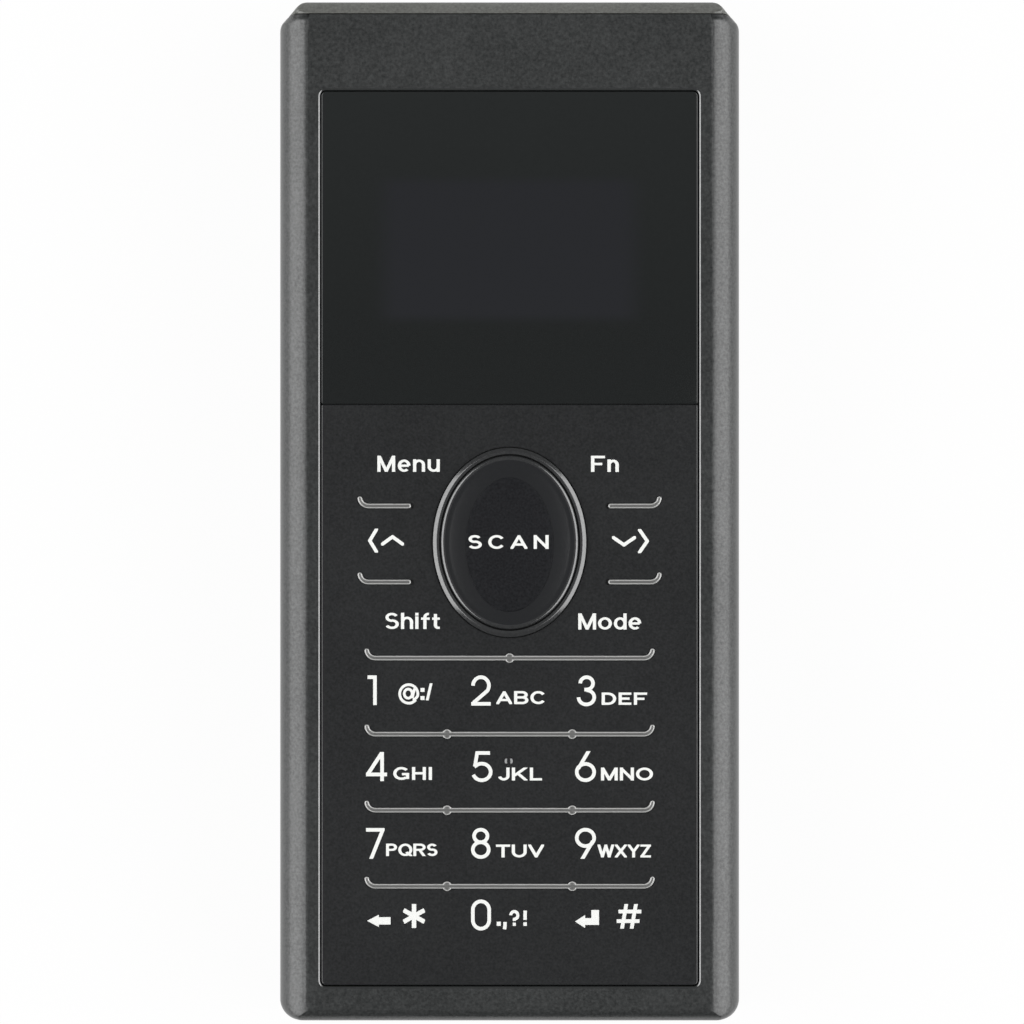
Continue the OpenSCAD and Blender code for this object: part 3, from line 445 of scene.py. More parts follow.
def surface(name, base, rough, grain, relief, uneven=0.08, metal=0.0, stretch=(1, 1, 1), mirror=0.5,
            **sockets):
    """Surface with a fine grain in relief and slow changes of colour and gloss.

    grain is the size of the grain and relief its depth, both in millimetres; rough holds the lowest
    and highest roughness, mirror is the specular level, and sockets are uniform values set on the
    shader itself, with underscores for the spaces in their names.
    """
    material, tree, place = start_material(name)
    spread = add(tree, "ShaderNodeMapping", {"Vector": place, "Scale": stretch}).outputs["Vector"]
    fine = noise(tree, spread, grain, Detail=3.0, Roughness=0.6)
    cloud = noise(tree, place, CLOUD_SIZE, Detail=4.0)
    level = remap(tree, mix_values(tree, CLOUD_SHARE, fine, cloud), 0.0, 1.0, 0.32, 0.68)
    return finish_material(material, tree, {
        "Base Color": mix_tints(tree, level, shade(base, 1 - uneven), shade(base, 1 + uneven)),
        "Roughness": remap(tree, level, *rough),
        "Metallic": metal,
        "Normal": relief_of(tree, fine, relief),
        "Specular IOR Level": remap(tree, level, mirror * (1 - uneven), mirror * (1 + uneven)),
        **{socket.replace("_", " "): value for socket, value in sockets.items()}})


def cast_acrylic(settings):
    # Cast acrylic printed black on its back, with a window for the display: a deep gloss over black,
    # in which the unlit display is only a little lighter.
    material, tree, place = start_material("cast_acrylic_printed_black")
    low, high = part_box("display_lens")
    centre, long = (low + high) / 2, high.y - low.y
    # The display sits this much nearer to the keypad than the lens's middle
    off = 0.2 * MM
    centred = add(tree, "ShaderNodeMapping", {
        "Vector": place, "Location": (-centre.x, off - centre.y, 0)}).outputs["Vector"]
    split = add(tree, "ShaderNodeSeparateXYZ", {0: centred}).outputs
    # Half sizes of the display's window and the softness of its edges, in millimetres
    masks = []
    for axis, half, blur in (("X", 13.6, 1.7), ("Y", 7.55, 0.8)):
        masks.append(remap(tree, calc(tree, "ABSOLUTE", split[axis]), 1.0, 0.0, half * MM - blur * MM,
                           half * MM + blur * MM, interpolation_type="SMOOTHSTEP"))
    # Painted light: the lens is made lighter towards the scan head, on top of the print's own fine mottle.
    painted_light_towards_head = remap(tree, split["Y"], 0.0, 1.0, -0.3 * long, 0.5 * long)
    print_mottle_and_painted_light = mix_values(tree, 0.6, noise(tree, place, 0.4, Detail=2.0), painted_light_towards_head)
    # The darker and lighter shades of the print carry both its mottle and the painted light
    print_and_painted_light_tint = mix_tints(tree, print_mottle_and_painted_light, shade(settings.lens_colour, 0.82), shade(settings.lens_colour, 1.28))
    return finish_material(material, tree, {
        "Base Color": mix_tints(tree, calc(tree, "MULTIPLY", *masks), print_and_painted_light_tint,
                                shade(settings.area_colour)),
        "Roughness": 0.06, "IOR": ACRYLIC_IOR,
        "Normal": relief_of(tree, noise(tree, place, 14, Detail=1.0), 0.004)})


def silver_lacquer(settings):
    # Silver lacquer over a moulded rib, coloured by the way it faces: the flanks are painted bright as a
    # highlight and the crown is painted dark as shade.
    material, tree, place = start_material("silver_lacquer_rib")
    facing = add(tree, "ShaderNodeSeparateXYZ", {0: add(tree, "ShaderNodeTexCoord").outputs["Normal"]})
    # Painted shade: the crown, which faces straight up, is darkened to about a fifth of the silver
    crown = remap(tree, facing.outputs["Z"], 0.0, 1.0, 0.80, 0.90, interpolation_type="SMOOTHSTEP")
    flake = noise(tree, place, 0.08, Detail=2.0)
    silver = settings.ridge_colour
    # Painted highlight: the flanks, which face the side lights, keep this bright flaked silver
    painted_bright_flanks = mix_tints(tree, flake, shade(silver, 0.85), shade(silver, 1.15))
    return finish_material(material, tree, {
        "Base Color": mix_tints(tree, crown, painted_bright_flanks, shade(silver, 0.22)),
        "Roughness": 0.38, "Metallic": 0.3, "Normal": relief_of(tree, flake, 0.002)})


def dyed_acrylic(settings):
    # Acrylic dyed deep red, polished: nearly black by daylight, red where light comes through it.
    material, tree, place = start_material("dyed_acrylic_polished")
    streak = noise(tree, place, 3, Detail=2.0)
    return finish_material(material, tree, {
        "Base Color": shade(settings.window_colour), "Roughness": remap(tree, streak, 0.02, 0.06),
        "IOR": ACRYLIC_IOR, "Transmission Weight": 0.85})


# Finishes of the parts inside the housing, by the slot that they fill: name, colour, lowest and highest
# roughness, grain and relief in millimetres, and what else the surface takes
METAL = {"metal": 1.0}
INSIDE = {
    # Cross-linked polyethylene foam tape: a dull, cellular black
    "adhesive_foam": ("polyethylene_foam_tape", "1C1C1C", 0.8, 0.9, 0.3, 0.02, {}),
    # ABS key panel and key plates, moulded and left bare under the film
    "panel_plastic": ("abs_panel_bare", "232425", 0.42, 0.5, 0.2, 0.005, {}),
    "key_plastic": ("abs_key_plate_bare", "2E2F31", 0.42, 0.5, 0.2, 0.005, {}),
    # Polycarbonate film where its cut edge shows: grey and slightly hazy
    "sheet_elastomer": ("polycarbonate_film_edge", "2A2B2D", 0.5, 0.6, 0.2, 0.003, {}),
    # Clear polyester film: a milky gloss
    "polyester_film": ("polyester_film_milky", "C9CDD0", 0.2, 0.3, 0.5, 0.002, {}),
    # Stainless spring steel, pressed: a bright cold skin with fine rolling lines
    "spring_steel": ("spring_steel_rolled", "C8CCD2", 0.22, 0.32, 0.1, 0.001,
                     {**METAL, "stretch": (1, 8, 1)}),
    # Glass epoxy board under green solder mask: glossy, with the weave just showing
    "circuit_board": ("solder_mask_green", "1D5A3C", 0.25, 0.35, 0.5, 0.004, {"uneven": 0.15}),
    # Epoxy moulding compound: a dense matt black
    "chip_epoxy": ("epoxy_compound_black", "1B1D20", 0.5, 0.6, 0.15, 0.003, {}),
    # Display glass with its dark polarizer: smooth and mirror-like, blue-black
    "display_glass": ("display_glass_polarizer", "1F2630", 0.05, 0.1, 2.0, 0.001, {}),
    # White nylon, moulded: an even, waxy white
    "white_plastic": ("nylon_white_moulded", "E4E4E0", 0.4, 0.5, 0.25, 0.004, {"uneven": 0.04}),
    # Zinc die casting, bead blasted: a soft, sandy grey sheen
    "engine_metal": ("zinc_casting_blasted", "8B9096", 0.4, 0.5, 0.12, 0.004, METAL),
    # Coated glass lens: a violet gloss
    "engine_lens": ("coated_glass_lens", "303A55", 0.03, 0.06, 2.0, 0.0005, {}),
    # Grey nylon, moulded: half matt, with a faint grain
    "inner_plastic": ("nylon_grey_moulded", "45484B", 0.45, 0.55, 0.25, 0.004, {}),
    # Polyimide film with copper inside: amber, half glossy
    "flex_film": ("polyimide_film_amber", "B8782C", 0.25, 0.35, 0.4, 0.002, {"uneven": 0.15}),
    # Tinned steel sheet, stamped: a bright, slightly cloudy skin
    "tinned_steel": ("tinned_steel_stamped", "B9BCBF", 0.25, 0.35, 0.2, 0.002, METAL),
    # Shrink sleeve over the cell: a soft blue-black gloss with small wrinkles
    "battery_case": ("pvc_shrink_sleeve", "2C3034", 0.3, 0.42, 1.2, 0.02, {"uneven": 0.12}),
    # Gold flash over nickel: a warm, clean gloss
    "gold_contact": ("gold_flash_contact", "D8B45A", 0.2, 0.3, 0.1, 0.001, METAL),
    # Carbon steel screws with black oxide: dark, slightly oily metal
    "black_screw": ("black_oxide_steel", "3A3A3C", 0.3, 0.42, 0.1, 0.003, {**METAL, "uneven": 0.2}),
    # Free-cutting brass, turned: yellow, with fine lines round it
    "brass": ("brass_turned", "C9A24A", 0.25, 0.35, 0.08, 0.002, {**METAL, "stretch": (1, 1, 10)}),
    # Nitrile rubber, moulded: dull and slightly dusty black
    "black_rubber": ("nitrile_rubber_moulded", "151515", 0.6, 0.7, 0.2, 0.004, {}),
}


def make_materials(settings):
    """All finishes, by the slot or the piece that they are for."""
    housing, keypad, scan_key = settings.housing, settings.keypad, settings.scan_key
    made = {slot: surface(name, linear(code), (low, high), grain, relief, **rest)
            for slot, (name, code, low, high, grain, relief, rest) in INSIDE.items()}
    # ABS moulded against a spark-eroded tool and lacquered: an even satin grain that breaks highlights
    # into a soft sparkle. The real grain is 0.1 mm; it is drawn at 0.3 mm so that it shows.
    for slot, name, base, rough in (
            ("front_plastic", "abs_front_shell_satin", housing.shell_colour, (0.28, 0.36)),
            ("rear_plastic", "abs_rear_shell_satin", housing.shell_colour, (0.28, 0.36)),
            ("cap_plastic", "abs_scan_cap_satin", housing.cap_colour, (0.42, 0.50))):
        made[slot] = surface(name, base, rough, 0.3, 0.011, 0.29, mirror=1.0)
    made.update({
        "window_acrylic": dyed_acrylic(housing),
        "lens_acrylic": cast_acrylic(settings.display),
        # Polycarbonate keypad film with a matt hard coat: it stays dark and even, and reflects only as
        # a faint broad haze.
        "film": surface("polycarbonate_film_matt", keypad.sheet_colour, (0.42, 0.50), 0.25, 0.004, 0.22,
                        mirror=0.25),
        # Die cut edge of the polycarbonate film: left clear and smooth, it draws a thin line of light
        "film_edge": surface("polycarbonate_film_cut_edge", keypad.sheet_colour, (0.22, 0.28), 0.3,
                             0.001, 0.1, mirror=0.8),
        # Screen printed ink, one coat of white: flat and chalky, with the mesh of the screen just felt
        "ink": surface("screen_printed_white_ink", keypad.ink_colour, (0.55, 0.65), 0.09, 0.002, 0.03),
        # A drop of epoxy resin on the film, set hard: a small bead with sharp highlights
        "bump": surface("epoxy_drop_glossy", keypad.sheet_colour, (0.06, 0.12), 0.3, 0.0005, 0.1,
                        mirror=1.0, Coat_Weight=1.0, Coat_IOR=1.6),
        "ridge_plastic": silver_lacquer(keypad),
        # ABS ring under a thick hard lacquer: dark, and bright only where it faces the lights
        "ring_plastic": surface("abs_ring_lacquered", scan_key.ring_colour, (0.16, 0.22), 0.3, 0.0005,
                                0.12, mirror=1.0, IOR=1.72),
        # Lacquer that has drawn to the lip of the shell: thick and smooth, it gives a bright thin line
        "lip": surface("abs_lip_lacquered", housing.shell_colour, (0.12, 0.16), 0.3, 0.001, 0.12,
                       mirror=1.0, IOR=1.9),
        # ABS scan key under a clear hard coat: half glossy, with a sharp line along its rim
        "scan_key_plastic": surface("abs_scan_key_coated", scan_key.key_colour, (0.30, 0.38), 0.2, 0.001,
                                    0.05, mirror=0.2, Coat_Weight=1.0, Coat_Roughness=0.12,
                                    Coat_IOR=1.6),
        # Silicone rubber inlay, moulded matt: darker and quite dull
        "inlay_plastic": surface("silicone_inlay_matt", scan_key.inlay_colour, (0.48, 0.56), 0.25,
                                 0.004, 0.28, mirror=0.2),
    })
    return made


# ---- Housing --------------------------------------------------------------------------------

def edge_inset(depth, radius):
    """How far a rounded edge has pulled in at a given depth below the face that it leads to."""
    if depth >= radius:
        return 0.0
    return radius - math.sqrt(radius ** 2 - (radius - depth) ** 2)


def end_inset(depth, run):
    """The same for the edges at both ends, which fall slowly and then turn down short.

    Each is half as deep as it runs in over the face.
    """
    bend = 1.6
    return run * (1 - min(1.0, 2 * depth / run)) ** bend


def corner_insets(settings):
    """How far the two kinds of corner in plan lie inside the housing's box, across and along it."""
    width, long = settings.cut_width, settings.cut_length
    # Each cut has a soft bend at both ends, a curve from one point to another by way of a third
    bends = (((0, 1.25 * long), (0, long), (0.14 * width, 0.86 * long)),
             ((0.76 * width, 0.24 * long), (width, 0), (1.32 * width, 0)))
    steps = 12
    high = [tuple(start[k] * (1 - t) ** 2 + 2 * middle[k] * t * (1 - t) + end[k] * t * t for k in (0, 1))
            for start, middle, end in bends for t in [step / steps for step in range(steps + 1)]]
    return quarter(settings.corner, 16), high


def plan_ring(half_x, half_y, inset_x, inset_y, insets, z):
    """The housing's outline at one height; its corners flow into the rounded edges there."""
    low, high = insets
    ring = []
    for side_x, side_y, corner in ((1, -1, low[::-1]), (1, 1, high), (-1, 1, high[::-1]), (-1, -1, low)):
        # The low corners flow softly, the cut ones next to the scan head keep a crease.
        power = 3.0 if side_y > 0 else 1.6
        for dx, dy in corner:
            x = half_x - (inset_x ** power + dx ** power) ** (1 / power)
            y = half_y - (inset_y ** power + dy ** power) ** (1 / power)
            ring.append((side_x * x, side_y * y, z))
    return ring


def housing_skin(settings):
    """The housing's rounded outside as one closed form, in which its roundings flow together."""
    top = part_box("front_shell")[1].z
    half_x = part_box("front_shell")[1].x - settings.skin
    half_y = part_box("scan_head_cap")[1].y - settings.skin
    insets = corner_insets(settings)
    sweep = [inset for inset, _ in quarter(1.0, 28)]
    back, front = settings.back_round, settings.front_round
    heights = [(back * s, back, back * s) for s in sweep]
    heights += [(top - front * s, front, front * s) for s in reversed(sweep)]
    rings = [plan_ring(half_x, half_y, edge_inset(depth, radius), end_inset(depth, settings.end_run),
                       insets, min(max(z, settings.skin), top - settings.skin))
             for z, radius, depth in heights]
    return loft("housing_skin", rings, None)


def drop_folds(piece):
    """Removes triangles that a cut has folded flat onto each other."""
    mesh = bmesh.new()
    mesh.from_mesh(piece.data)
    bmesh.ops.triangulate(mesh, faces=mesh.faces[:])
    grid = 0.001 * MM
    spots = {}
    for face in mesh.faces:
        key = frozenset(tuple(round(c / grid) for c in vertex.co) for vertex in face.verts)
        spots.setdefault(key, []).append(face)
    folds = [face for key, faces in spots.items() if len(faces) > 1 or len(key) < 3 for face in faces]
    bmesh.ops.delete(mesh, geom=folds, context="FACES")
    bmesh.ops.remove_doubles(mesh, verts=mesh.verts[:], dist=grid)
    mesh.to_mesh(piece.data)
    mesh.free()


def cut(piece, operation, other):
    """Combines a piece with another form, which stays as it is."""
    add_modifier(piece, "BOOLEAN", operation=operation, solver="EXACT").object = other
    apply_modifiers(piece)


def trim_to_skin(piece, skin, folded=False):
    """Cuts a copied shell to the housing's outside."""
    cut(piece, "INTERSECT", skin)
    if folded:
        drop_folds(piece)
    return level_shading(piece, 32)


def lip_cutter(settings):
    """The rebate for the bead that lines the lip of the recess."""
    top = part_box("front_shell")[1].z
    low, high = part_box("keypad_panel")[0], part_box("display_lens")[1]
    out = settings.recess_gap + settings.lip_round
    outline = rounded((low.x - out, low.y - out), (high.x + out, high.y + out),
                      settings.recess_corner + out)
    return loft("lip_cutter", [at_height(outline, z) for z in (top - settings.lip_round, top + out)], None)


def bead(name, low, high, corners, radius, side, material):
    """Quarter round bead round a rectangle; side 1 rounds its outer edge, -1 its inner one.

    corners holds the rectangle's radius at its low end and at its high end.
    """
    rings = [at_height(inset_outline(low, high, *corners, side * inset), high.z - drop)
             for inset, drop in [(radius, radius)] + quarter(radius)]
    piece = loft(name, rings, material, looped=True)
    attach(piece, "root")
    return piece


def build_lip(settings, materials):
    """Bead that lines the lip of the recess."""
    gap = settings.recess_gap
    low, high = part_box("keypad_panel")[0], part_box("display_lens")[1]
    low = Vector((low.x - gap, low.y - gap, 0))
    high = Vector((high.x + gap, high.y + gap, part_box("front_shell")[1].z - settings.skin))
    corner = settings.recess_corner + gap
    bead("recess_lip_lacquered", low, high, (corner, corner), settings.lip_round, -1,
                 materials["lip"])


def build_housing(settings, materials):
    """Both shells and the battery door, cut to one rounded outside."""
    skin = housing_skin(settings)
    lip = lip_cutter(settings)
    for node in ("front_shell", "rear_shell", "battery_door"):
        piece = copy_node(node, f"{node}_finished", materials[slot_of(node)])
        if node == "front_shell":
            cut(piece, "DIFFERENCE", lip)
        trim_to_skin(piece, skin)
    bpy.data.objects.remove(skin)
    bpy.data.objects.remove(lip)
    build_lip(settings, materials)


def build_scan_head(settings, materials):
    """The cap, cut to the same outside, with its window and gasket."""
    skin = housing_skin(settings)
    for node in ("scan_head_cap", "scan_window", "window_gasket"):
        piece = copy_node(node, f"{node}_finished", materials[slot_of(node)])
        soften(piece, settings.edge)
        if node == "scan_head_cap":
            trim_to_skin(piece, skin, folded=True)
    bpy.data.objects.remove(skin)


def build_hardware(settings, materials):
    """The small parts that the housing leaves open to view."""
    for node in ("case_screws", "data_socket"):
        piece = copy_node(node, f"{node}_finished", materials[slot_of(node)])
        soften(piece, settings.edge)


# ---- Display --------------------------------------------------------------------------------

def build_lens(settings, materials):
    """The display lens, with a bevel round its face."""
    low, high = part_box("display_lens")
    low.y -= settings.reach
    bevel = settings.bevel
    rings = []
    for inset, z in ((0, low.z), (0, high.z - bevel), (0.3 * bevel, high.z - 0.3 * bevel),
                     (bevel, high.z)):
        outline = rounded_ends((low.x + inset, low.y + inset), (high.x - inset, high.y - inset),
                               settings.low_corner, settings.corner)
        rings.append(at_height(outline, z))
    lens = loft("display_lens_finished", rings, materials["lens_acrylic"])
    smooth(lens, 30)
    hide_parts("display_lens")
    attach(lens, "root")


# ---- Keypad sheet ---------------------------------------------------------------------------

def clip_outline(outline, normal, reach):
    """Part of an outline where its distance along the normal is at least reach."""
    kept = []
    for (ax, ay), (bx, by) in zip(outline, outline[1:] + outline[:1]):
        a = ax * normal[0] + ay * normal[1] - reach
        b = bx * normal[0] + by * normal[1] - reach
        if a >= 0:
            kept.append((ax, ay))
        if (a > 0) != (b > 0) and a != 0 and b != 0:
            share = a / (a - b)
            kept.append((ax + (bx - ax) * share, ay + (by - ay) * share))
    return kept


def shrink(outline, amount):
    """Straight-edged outline with each edge moved inwards, corner for corner."""
    inner = []
    for i, (x, y) in enumerate(outline):
        before, after = outline[i - 1], outline[(i + 1) % len(outline)]
        n1 = Vector((before[1] - y, x - before[0])).normalized()
        n2 = Vector((y - after[1], after[0] - x)).normalized()
        move = (n1 + n2) * amount / (1 + n1.dot(n2))
        inner.append((x + move.x, y + move.y))
    return inner


def ring_oval():
    """Middle and half widths of the ring round the scan key."""
    low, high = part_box("scan_key_ring")
    centre = (low + high) / 2
    return centre, (high.x - low.x) / 2, (high.y - low.y) / 2


def key_outline(key):
    """Straight-edged outline of the sheet that a key moves, clear of the ring."""
    # A hair inside the plate, so that neighbours never touch
    edge = 0.02 * MM
    low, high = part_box(key)
    outline = [(low.x + edge, low.y + edge), (high.x - edge, low.y + edge),
               (high.x - edge, high.y - edge), (low.x + edge, high.y - edge)]
    centre, ring_x, ring_y = ring_oval()
    side_x = math.copysign(1, (low.x + high.x) / 2)
    side_y = math.copysign(1, (low.y + high.y) / 2 - centre.y)
    if key in SIDE_ROWS[0] + SIDE_ROWS[2]:
        # The edge that faces the ring touches the oval of its clearance at this angle
        angle = math.radians(37)
        clear = 0.36 * MM
        normal = (side_x * math.cos(angle) / (ring_x + clear), side_y * math.sin(angle) / (ring_y + clear))
        run = math.hypot(*normal)
        reach = (1 + centre.y * normal[1]) / run
        outline = clip_outline(outline, (normal[0] / run, normal[1] / run), reach)
    return outline


def ridge_ys():
    """Places of the ridges along the housing: half way between the rows of keys."""
    rows = [row[0] for row in NUMBER_ROWS + SIDE_ROWS]
    return [(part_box(below)[1].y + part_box(above)[0].y) / 2 for below, above in zip(rows, rows[1:])]


def hooked_path(x0, x1, y, settings):
    """Path of a ridge from x0 outwards to x1, where it turns up in a quarter circle."""
    r = settings.hook_radius
    return [(x0, y)] + arc(x1, y + r, r, r, 270, 360, 10) + [(x1 + r, y + r + settings.hook_end)]


def ridge_paths(settings):
    """Paths of all ridges, and the places of their studs."""
    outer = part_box("key_ridges")[1].x - settings.ridge_width / 2 - settings.hook_radius
    # The long ridges end this much short of the ones beside the ring, which start at inner
    step = 0.75 * MM
    inner = 10.7 * MM
    split = (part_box("key_0")[1].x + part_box("key_hash")[0].x) / 2
    ys = ridge_ys()
    paths = []
    for y in ys[:4]:
        right = hooked_path(0, outer - step, y, settings)
        left = [(-px, py) for px, py in reversed(right)]
        paths.append(left[:-1] + right[1:])
    for y in ys[4:]:
        right = hooked_path(inner, outer, y, settings)
        paths += [right, [(-px, py) for px, py in right]]
    studs = [(side * split, y) for side in (-1, 1) for y in ys[:3]] + [(0.0, ys[3])]
    return paths, studs


def ribbon(path, width):
    """Quads along a path, mitred where it turns."""
    same = 1e-9
    path = [p for p, q in zip(path, [None] + path[:-1]) if q is None or math.dist(p, q) > same]
    closed = math.dist(path[0], path[-1]) < same
    normals = []
    for (ax, ay), (bx, by) in zip(path, path[1:]):
        run = math.hypot(bx - ax, by - ay)
        normals.append((-(by - ay) / run, (bx - ax) / run))
    sides = []
    for i, (x, y) in enumerate(path):
        before = normals[i - 1] if i else normals[-1] if closed else normals[0]
        after = normals[i] if i < len(normals) else normals[0] if closed else normals[-1]
        nx, ny = before[0] + after[0], before[1] + after[1]
        # Mitres of very sharp corners are kept short
        scale = width / max(nx * nx + ny * ny, 0.5)
        sides.append(((x + nx * scale, y + ny * scale), (x - nx * scale, y - ny * scale)))
    quads = []
    for a, b in zip(sides, sides[1:]):
        corners = (a[0], a[1], b[1], b[0])
        mx, my = sum(c[0] for c in corners) / 4, sum(c[1] for c in corners) / 4
        quads.append(sorted(corners, key=lambda c: math.atan2(c[1] - my, c[0] - mx)))
    return quads


def sheet_holes(settings):
    """Outlines of all that the film leaves free: the keys' patches, the ring, the ridges, the studs."""
    centre, ring_x, ring_y = ring_oval()
    paths, studs = ridge_paths(settings)
    groove = settings.groove
    holes = [key_outline(key) for key in PLATE_KEYS]
    holes.append(oval(centre.x, centre.y, ring_x + groove, ring_y + groove, RING_FACETS))
    for path in paths:
        holes += ribbon(path, settings.ridge_width + 2 * groove)
        r = settings.ridge_width / 2 + groove
        holes += [oval(x, y, r, r, SMALL_FACETS) for x, y in (path[0], path[-1])]
    r = settings.stud_diameter / 2 + groove
    return holes + [oval(x, y, r, r, SMALL_FACETS) for x, y in studs]


def build_sheet(settings, materials):
    """The keypad film: one still part, and for every key a patch that moves and a slope round it."""
    low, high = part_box("keypad_sheet")
    high.y += settings.reach
    # Radii of the corners at the socket end, and of those that meet the lens
    corners = (0.5 * MM, 0.2 * MM)
    outline = inset_outline(low, high, *corners, settings.edge)
    body = prism("keypad_sheet_finished", region([outline], sheet_holes(settings)), low.z, high.z,
                 materials["film"])
    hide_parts("keypad_sheet")
    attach(body, "root")
    bead("keypad_sheet_edge", low, high, corners, settings.edge, 1, materials["film_edge"])
    for key in PLATE_KEYS:
        outer = key_outline(key)
        inner = shrink(outer, settings.slope)
        patch = prism(f"sheet_patch_{key}", region([inner]), low.z, high.z, materials["film"])
        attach(patch, key)
        for i in range(len(outer)):
            build_slope(key, i, outer, inner, settings, materials)


def build_slope(key, i, outer, inner, settings, materials):
    """Strip of the film between a still edge and a moving patch."""
    low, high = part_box("keypad_sheet")
    j = (i + 1) % len(outer)
    steps = settings.slope_steps
    rings = []
    for step in range(steps + 1):
        share = step / steps
        a = [outer[i][k] + (inner[i][k] - outer[i][k]) * share for k in (0, 1)]
        b = [outer[j][k] + (inner[j][k] - outer[j][k]) * share for k in (0, 1)]
        rings.append([(*a, low.z), (*b, low.z), (*b, high.z), (*a, high.z)])
    strip = loft(f"sheet_slope_{key}_{i}", rings, materials["film"])
    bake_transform(strip)


# ---- Ridges ---------------------------------------------------------------------------------

def ridge_tree(material):
    """Node tree that sweeps a rounded bar along every edge and sets a stud on every loose point."""
    tree = bpy.data.node_groups.new("keypad_ridges", "GeometryNodeTree")
    for name, kind in (("Geometry", "NodeSocketGeometry"), ("Width", "NodeSocketFloat"),
                       ("Rise", "NodeSocketFloat"), ("Stud Diameter", "NodeSocketFloat")):
        tree.interface.new_socket(name, in_out="INPUT", socket_type=kind)
    tree.interface.new_socket("Geometry", in_out="OUTPUT", socket_type="NodeSocketGeometry")
    given = add(tree, "NodeGroupInput").outputs
    half = calc(tree, "MULTIPLY", given["Width"], 0.5)
    # Bars of evenly spaced rings, narrowed to a round nose over the last half width at both ends
    curve = add(tree, "GeometryNodeMeshToCurve", {"Mesh": given["Geometry"]}).outputs["Curve"]
    even = add(tree, "GeometryNodeResampleCurve", {"Curve": curve, "Length": 0.07 * MM}, mode="LENGTH")
    along = add(tree, "GeometryNodeSplineParameter").outputs["Length"]
    whole = add(tree, "GeometryNodeSplineLength").outputs["Length"]
    nearest = calc(tree, "MINIMUM", along, calc(tree, "SUBTRACT", whole, along))
    lack = calc(tree, "SUBTRACT", 1.0, calc(tree, "DIVIDE", nearest, half, use_clamp=True))
    # A little above 1, so that the nose never closes to nothing
    nose = calc(tree, "SQRT", calc(tree, "SUBTRACT", 1.0001, calc(tree, "MULTIPLY", lack, lack)))
    circle = add(tree, "GeometryNodeCurvePrimitiveCircle", {"Resolution": 16, "Radius": 1.0})
    size = add(tree, "ShaderNodeCombineXYZ", {"X": half, "Y": given["Rise"], "Z": 1.0}).outputs[0]
    profile = add(tree, "GeometryNodeTransform", {"Geometry": circle.outputs["Curve"], "Scale": size})
    bars = add(tree, "GeometryNodeCurveToMesh", {
        "Curve": even.outputs["Curve"], "Profile Curve": profile.outputs["Geometry"], "Scale": nose,
        "Fill Caps": True})
    # Studs on the points that no edge holds
    neighbours = add(tree, "GeometryNodeInputMeshVertexNeighbors").outputs["Vertex Count"]
    loose = add(tree, "FunctionNodeCompare", {2: neighbours, 3: 0}, data_type="INT", operation="EQUAL")
    spots = add(tree, "GeometryNodeMeshToPoints", {"Mesh": given["Geometry"],
                                                   "Selection": loose.outputs["Result"]})
    radius = calc(tree, "MULTIPLY", given["Stud Diameter"], 0.5)
    ball = add(tree, "GeometryNodeMeshUVSphere", {"Segments": 32, "Rings": 16, "Radius": 1.0})
    size = add(tree, "ShaderNodeCombineXYZ", {"X": radius, "Y": radius, "Z": given["Rise"]}).outputs[0]
    studs = add(tree, "GeometryNodeInstanceOnPoints", {
        "Points": spots.outputs["Points"], "Instance": ball.outputs["Mesh"], "Scale": size})
    join = add(tree, "GeometryNodeJoinGeometry", {"Geometry": bars.outputs["Mesh"]})
    tree.links.new(studs.outputs["Instances"], join.inputs["Geometry"])
    shape = join.outputs["Geometry"]
    for kind, values in (("SetShadeSmooth", {}), ("RealizeInstances", {}),
                         ("SetMaterial", {"Material": material})):
        shape = add(tree, f"GeometryNode{kind}", {"Geometry": shape, **values}).outputs["Geometry"]
    add(tree, "NodeGroupOutput", {"Geometry": shape})
    return tree


def run_tree(name, data, tree, **values):
    """Object whose mesh is what a node tree makes of the given mesh."""
    piece = bpy.data.objects.new(name, data)
    bpy.context.scene.collection.objects.link(piece)
    modifier = add_modifier(piece, "NODES", node_group=tree)
    for item in tree.interface.items_tree:
        if item.in_out == "INPUT" and item.name in values:
            modifier[item.identifier] = values[item.name]
    return apply_modifiers(piece)


def build_ridges(settings, materials):
    """All ridges and studs in one piece, from a mesh of their paths and places."""
    paths, studs = ridge_paths(settings)
    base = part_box("keypad_sheet")[1].z - SINK
    mesh = bmesh.new()
    for path in paths:
        points = [mesh.verts.new((x, y, base)) for x, y in path]
        for a, b in zip(points, points[1:]):
            mesh.edges.new((a, b))
    for x, y in studs:
        mesh.verts.new((x, y, base))
    data = bpy.data.meshes.new("ridge_paths")
    mesh.to_mesh(data)
    mesh.free()
    ridges = run_tree("key_ridges_finished", data, ridge_tree(materials["ridge_plastic"]),
                      **{"Width": settings.ridge_width, "Rise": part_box("key_ridges")[1].z - base,
                         "Stud Diameter": settings.stud_diameter})
    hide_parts("key_ridges")
    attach(ridges, "root")


# ---- Scan key -------------------------------------------------------------------------------

def oval_ring(centre, a, b, z, facets):
    """Ellipse round a middle, at one height."""
    return at_height(oval(centre.x, centre.y, a, b, facets), z)


def scan_ovals(settings):
    """Middle of the scan key, and the half widths of the key and of its bowl."""
    centre, ring_x, ring_y = ring_oval()
    edge = settings.ring_width + settings.ring_gap
    a, b = ring_x - edge, ring_y - edge
    return centre, (a, b), (a - settings.rim, b - settings.rim)


def bowl_depth(point, settings):
    """Depth of the scan key's bowl below its rim: nearly flat in the middle and steep at the rim."""
    centre, _, bowl = scan_ovals(settings)
    reach = min(1.0, math.hypot((point[0] - centre.x) / bowl[0], (point[1] - centre.y) / bowl[1]))
    return settings.dish * (1 - reach ** 4)


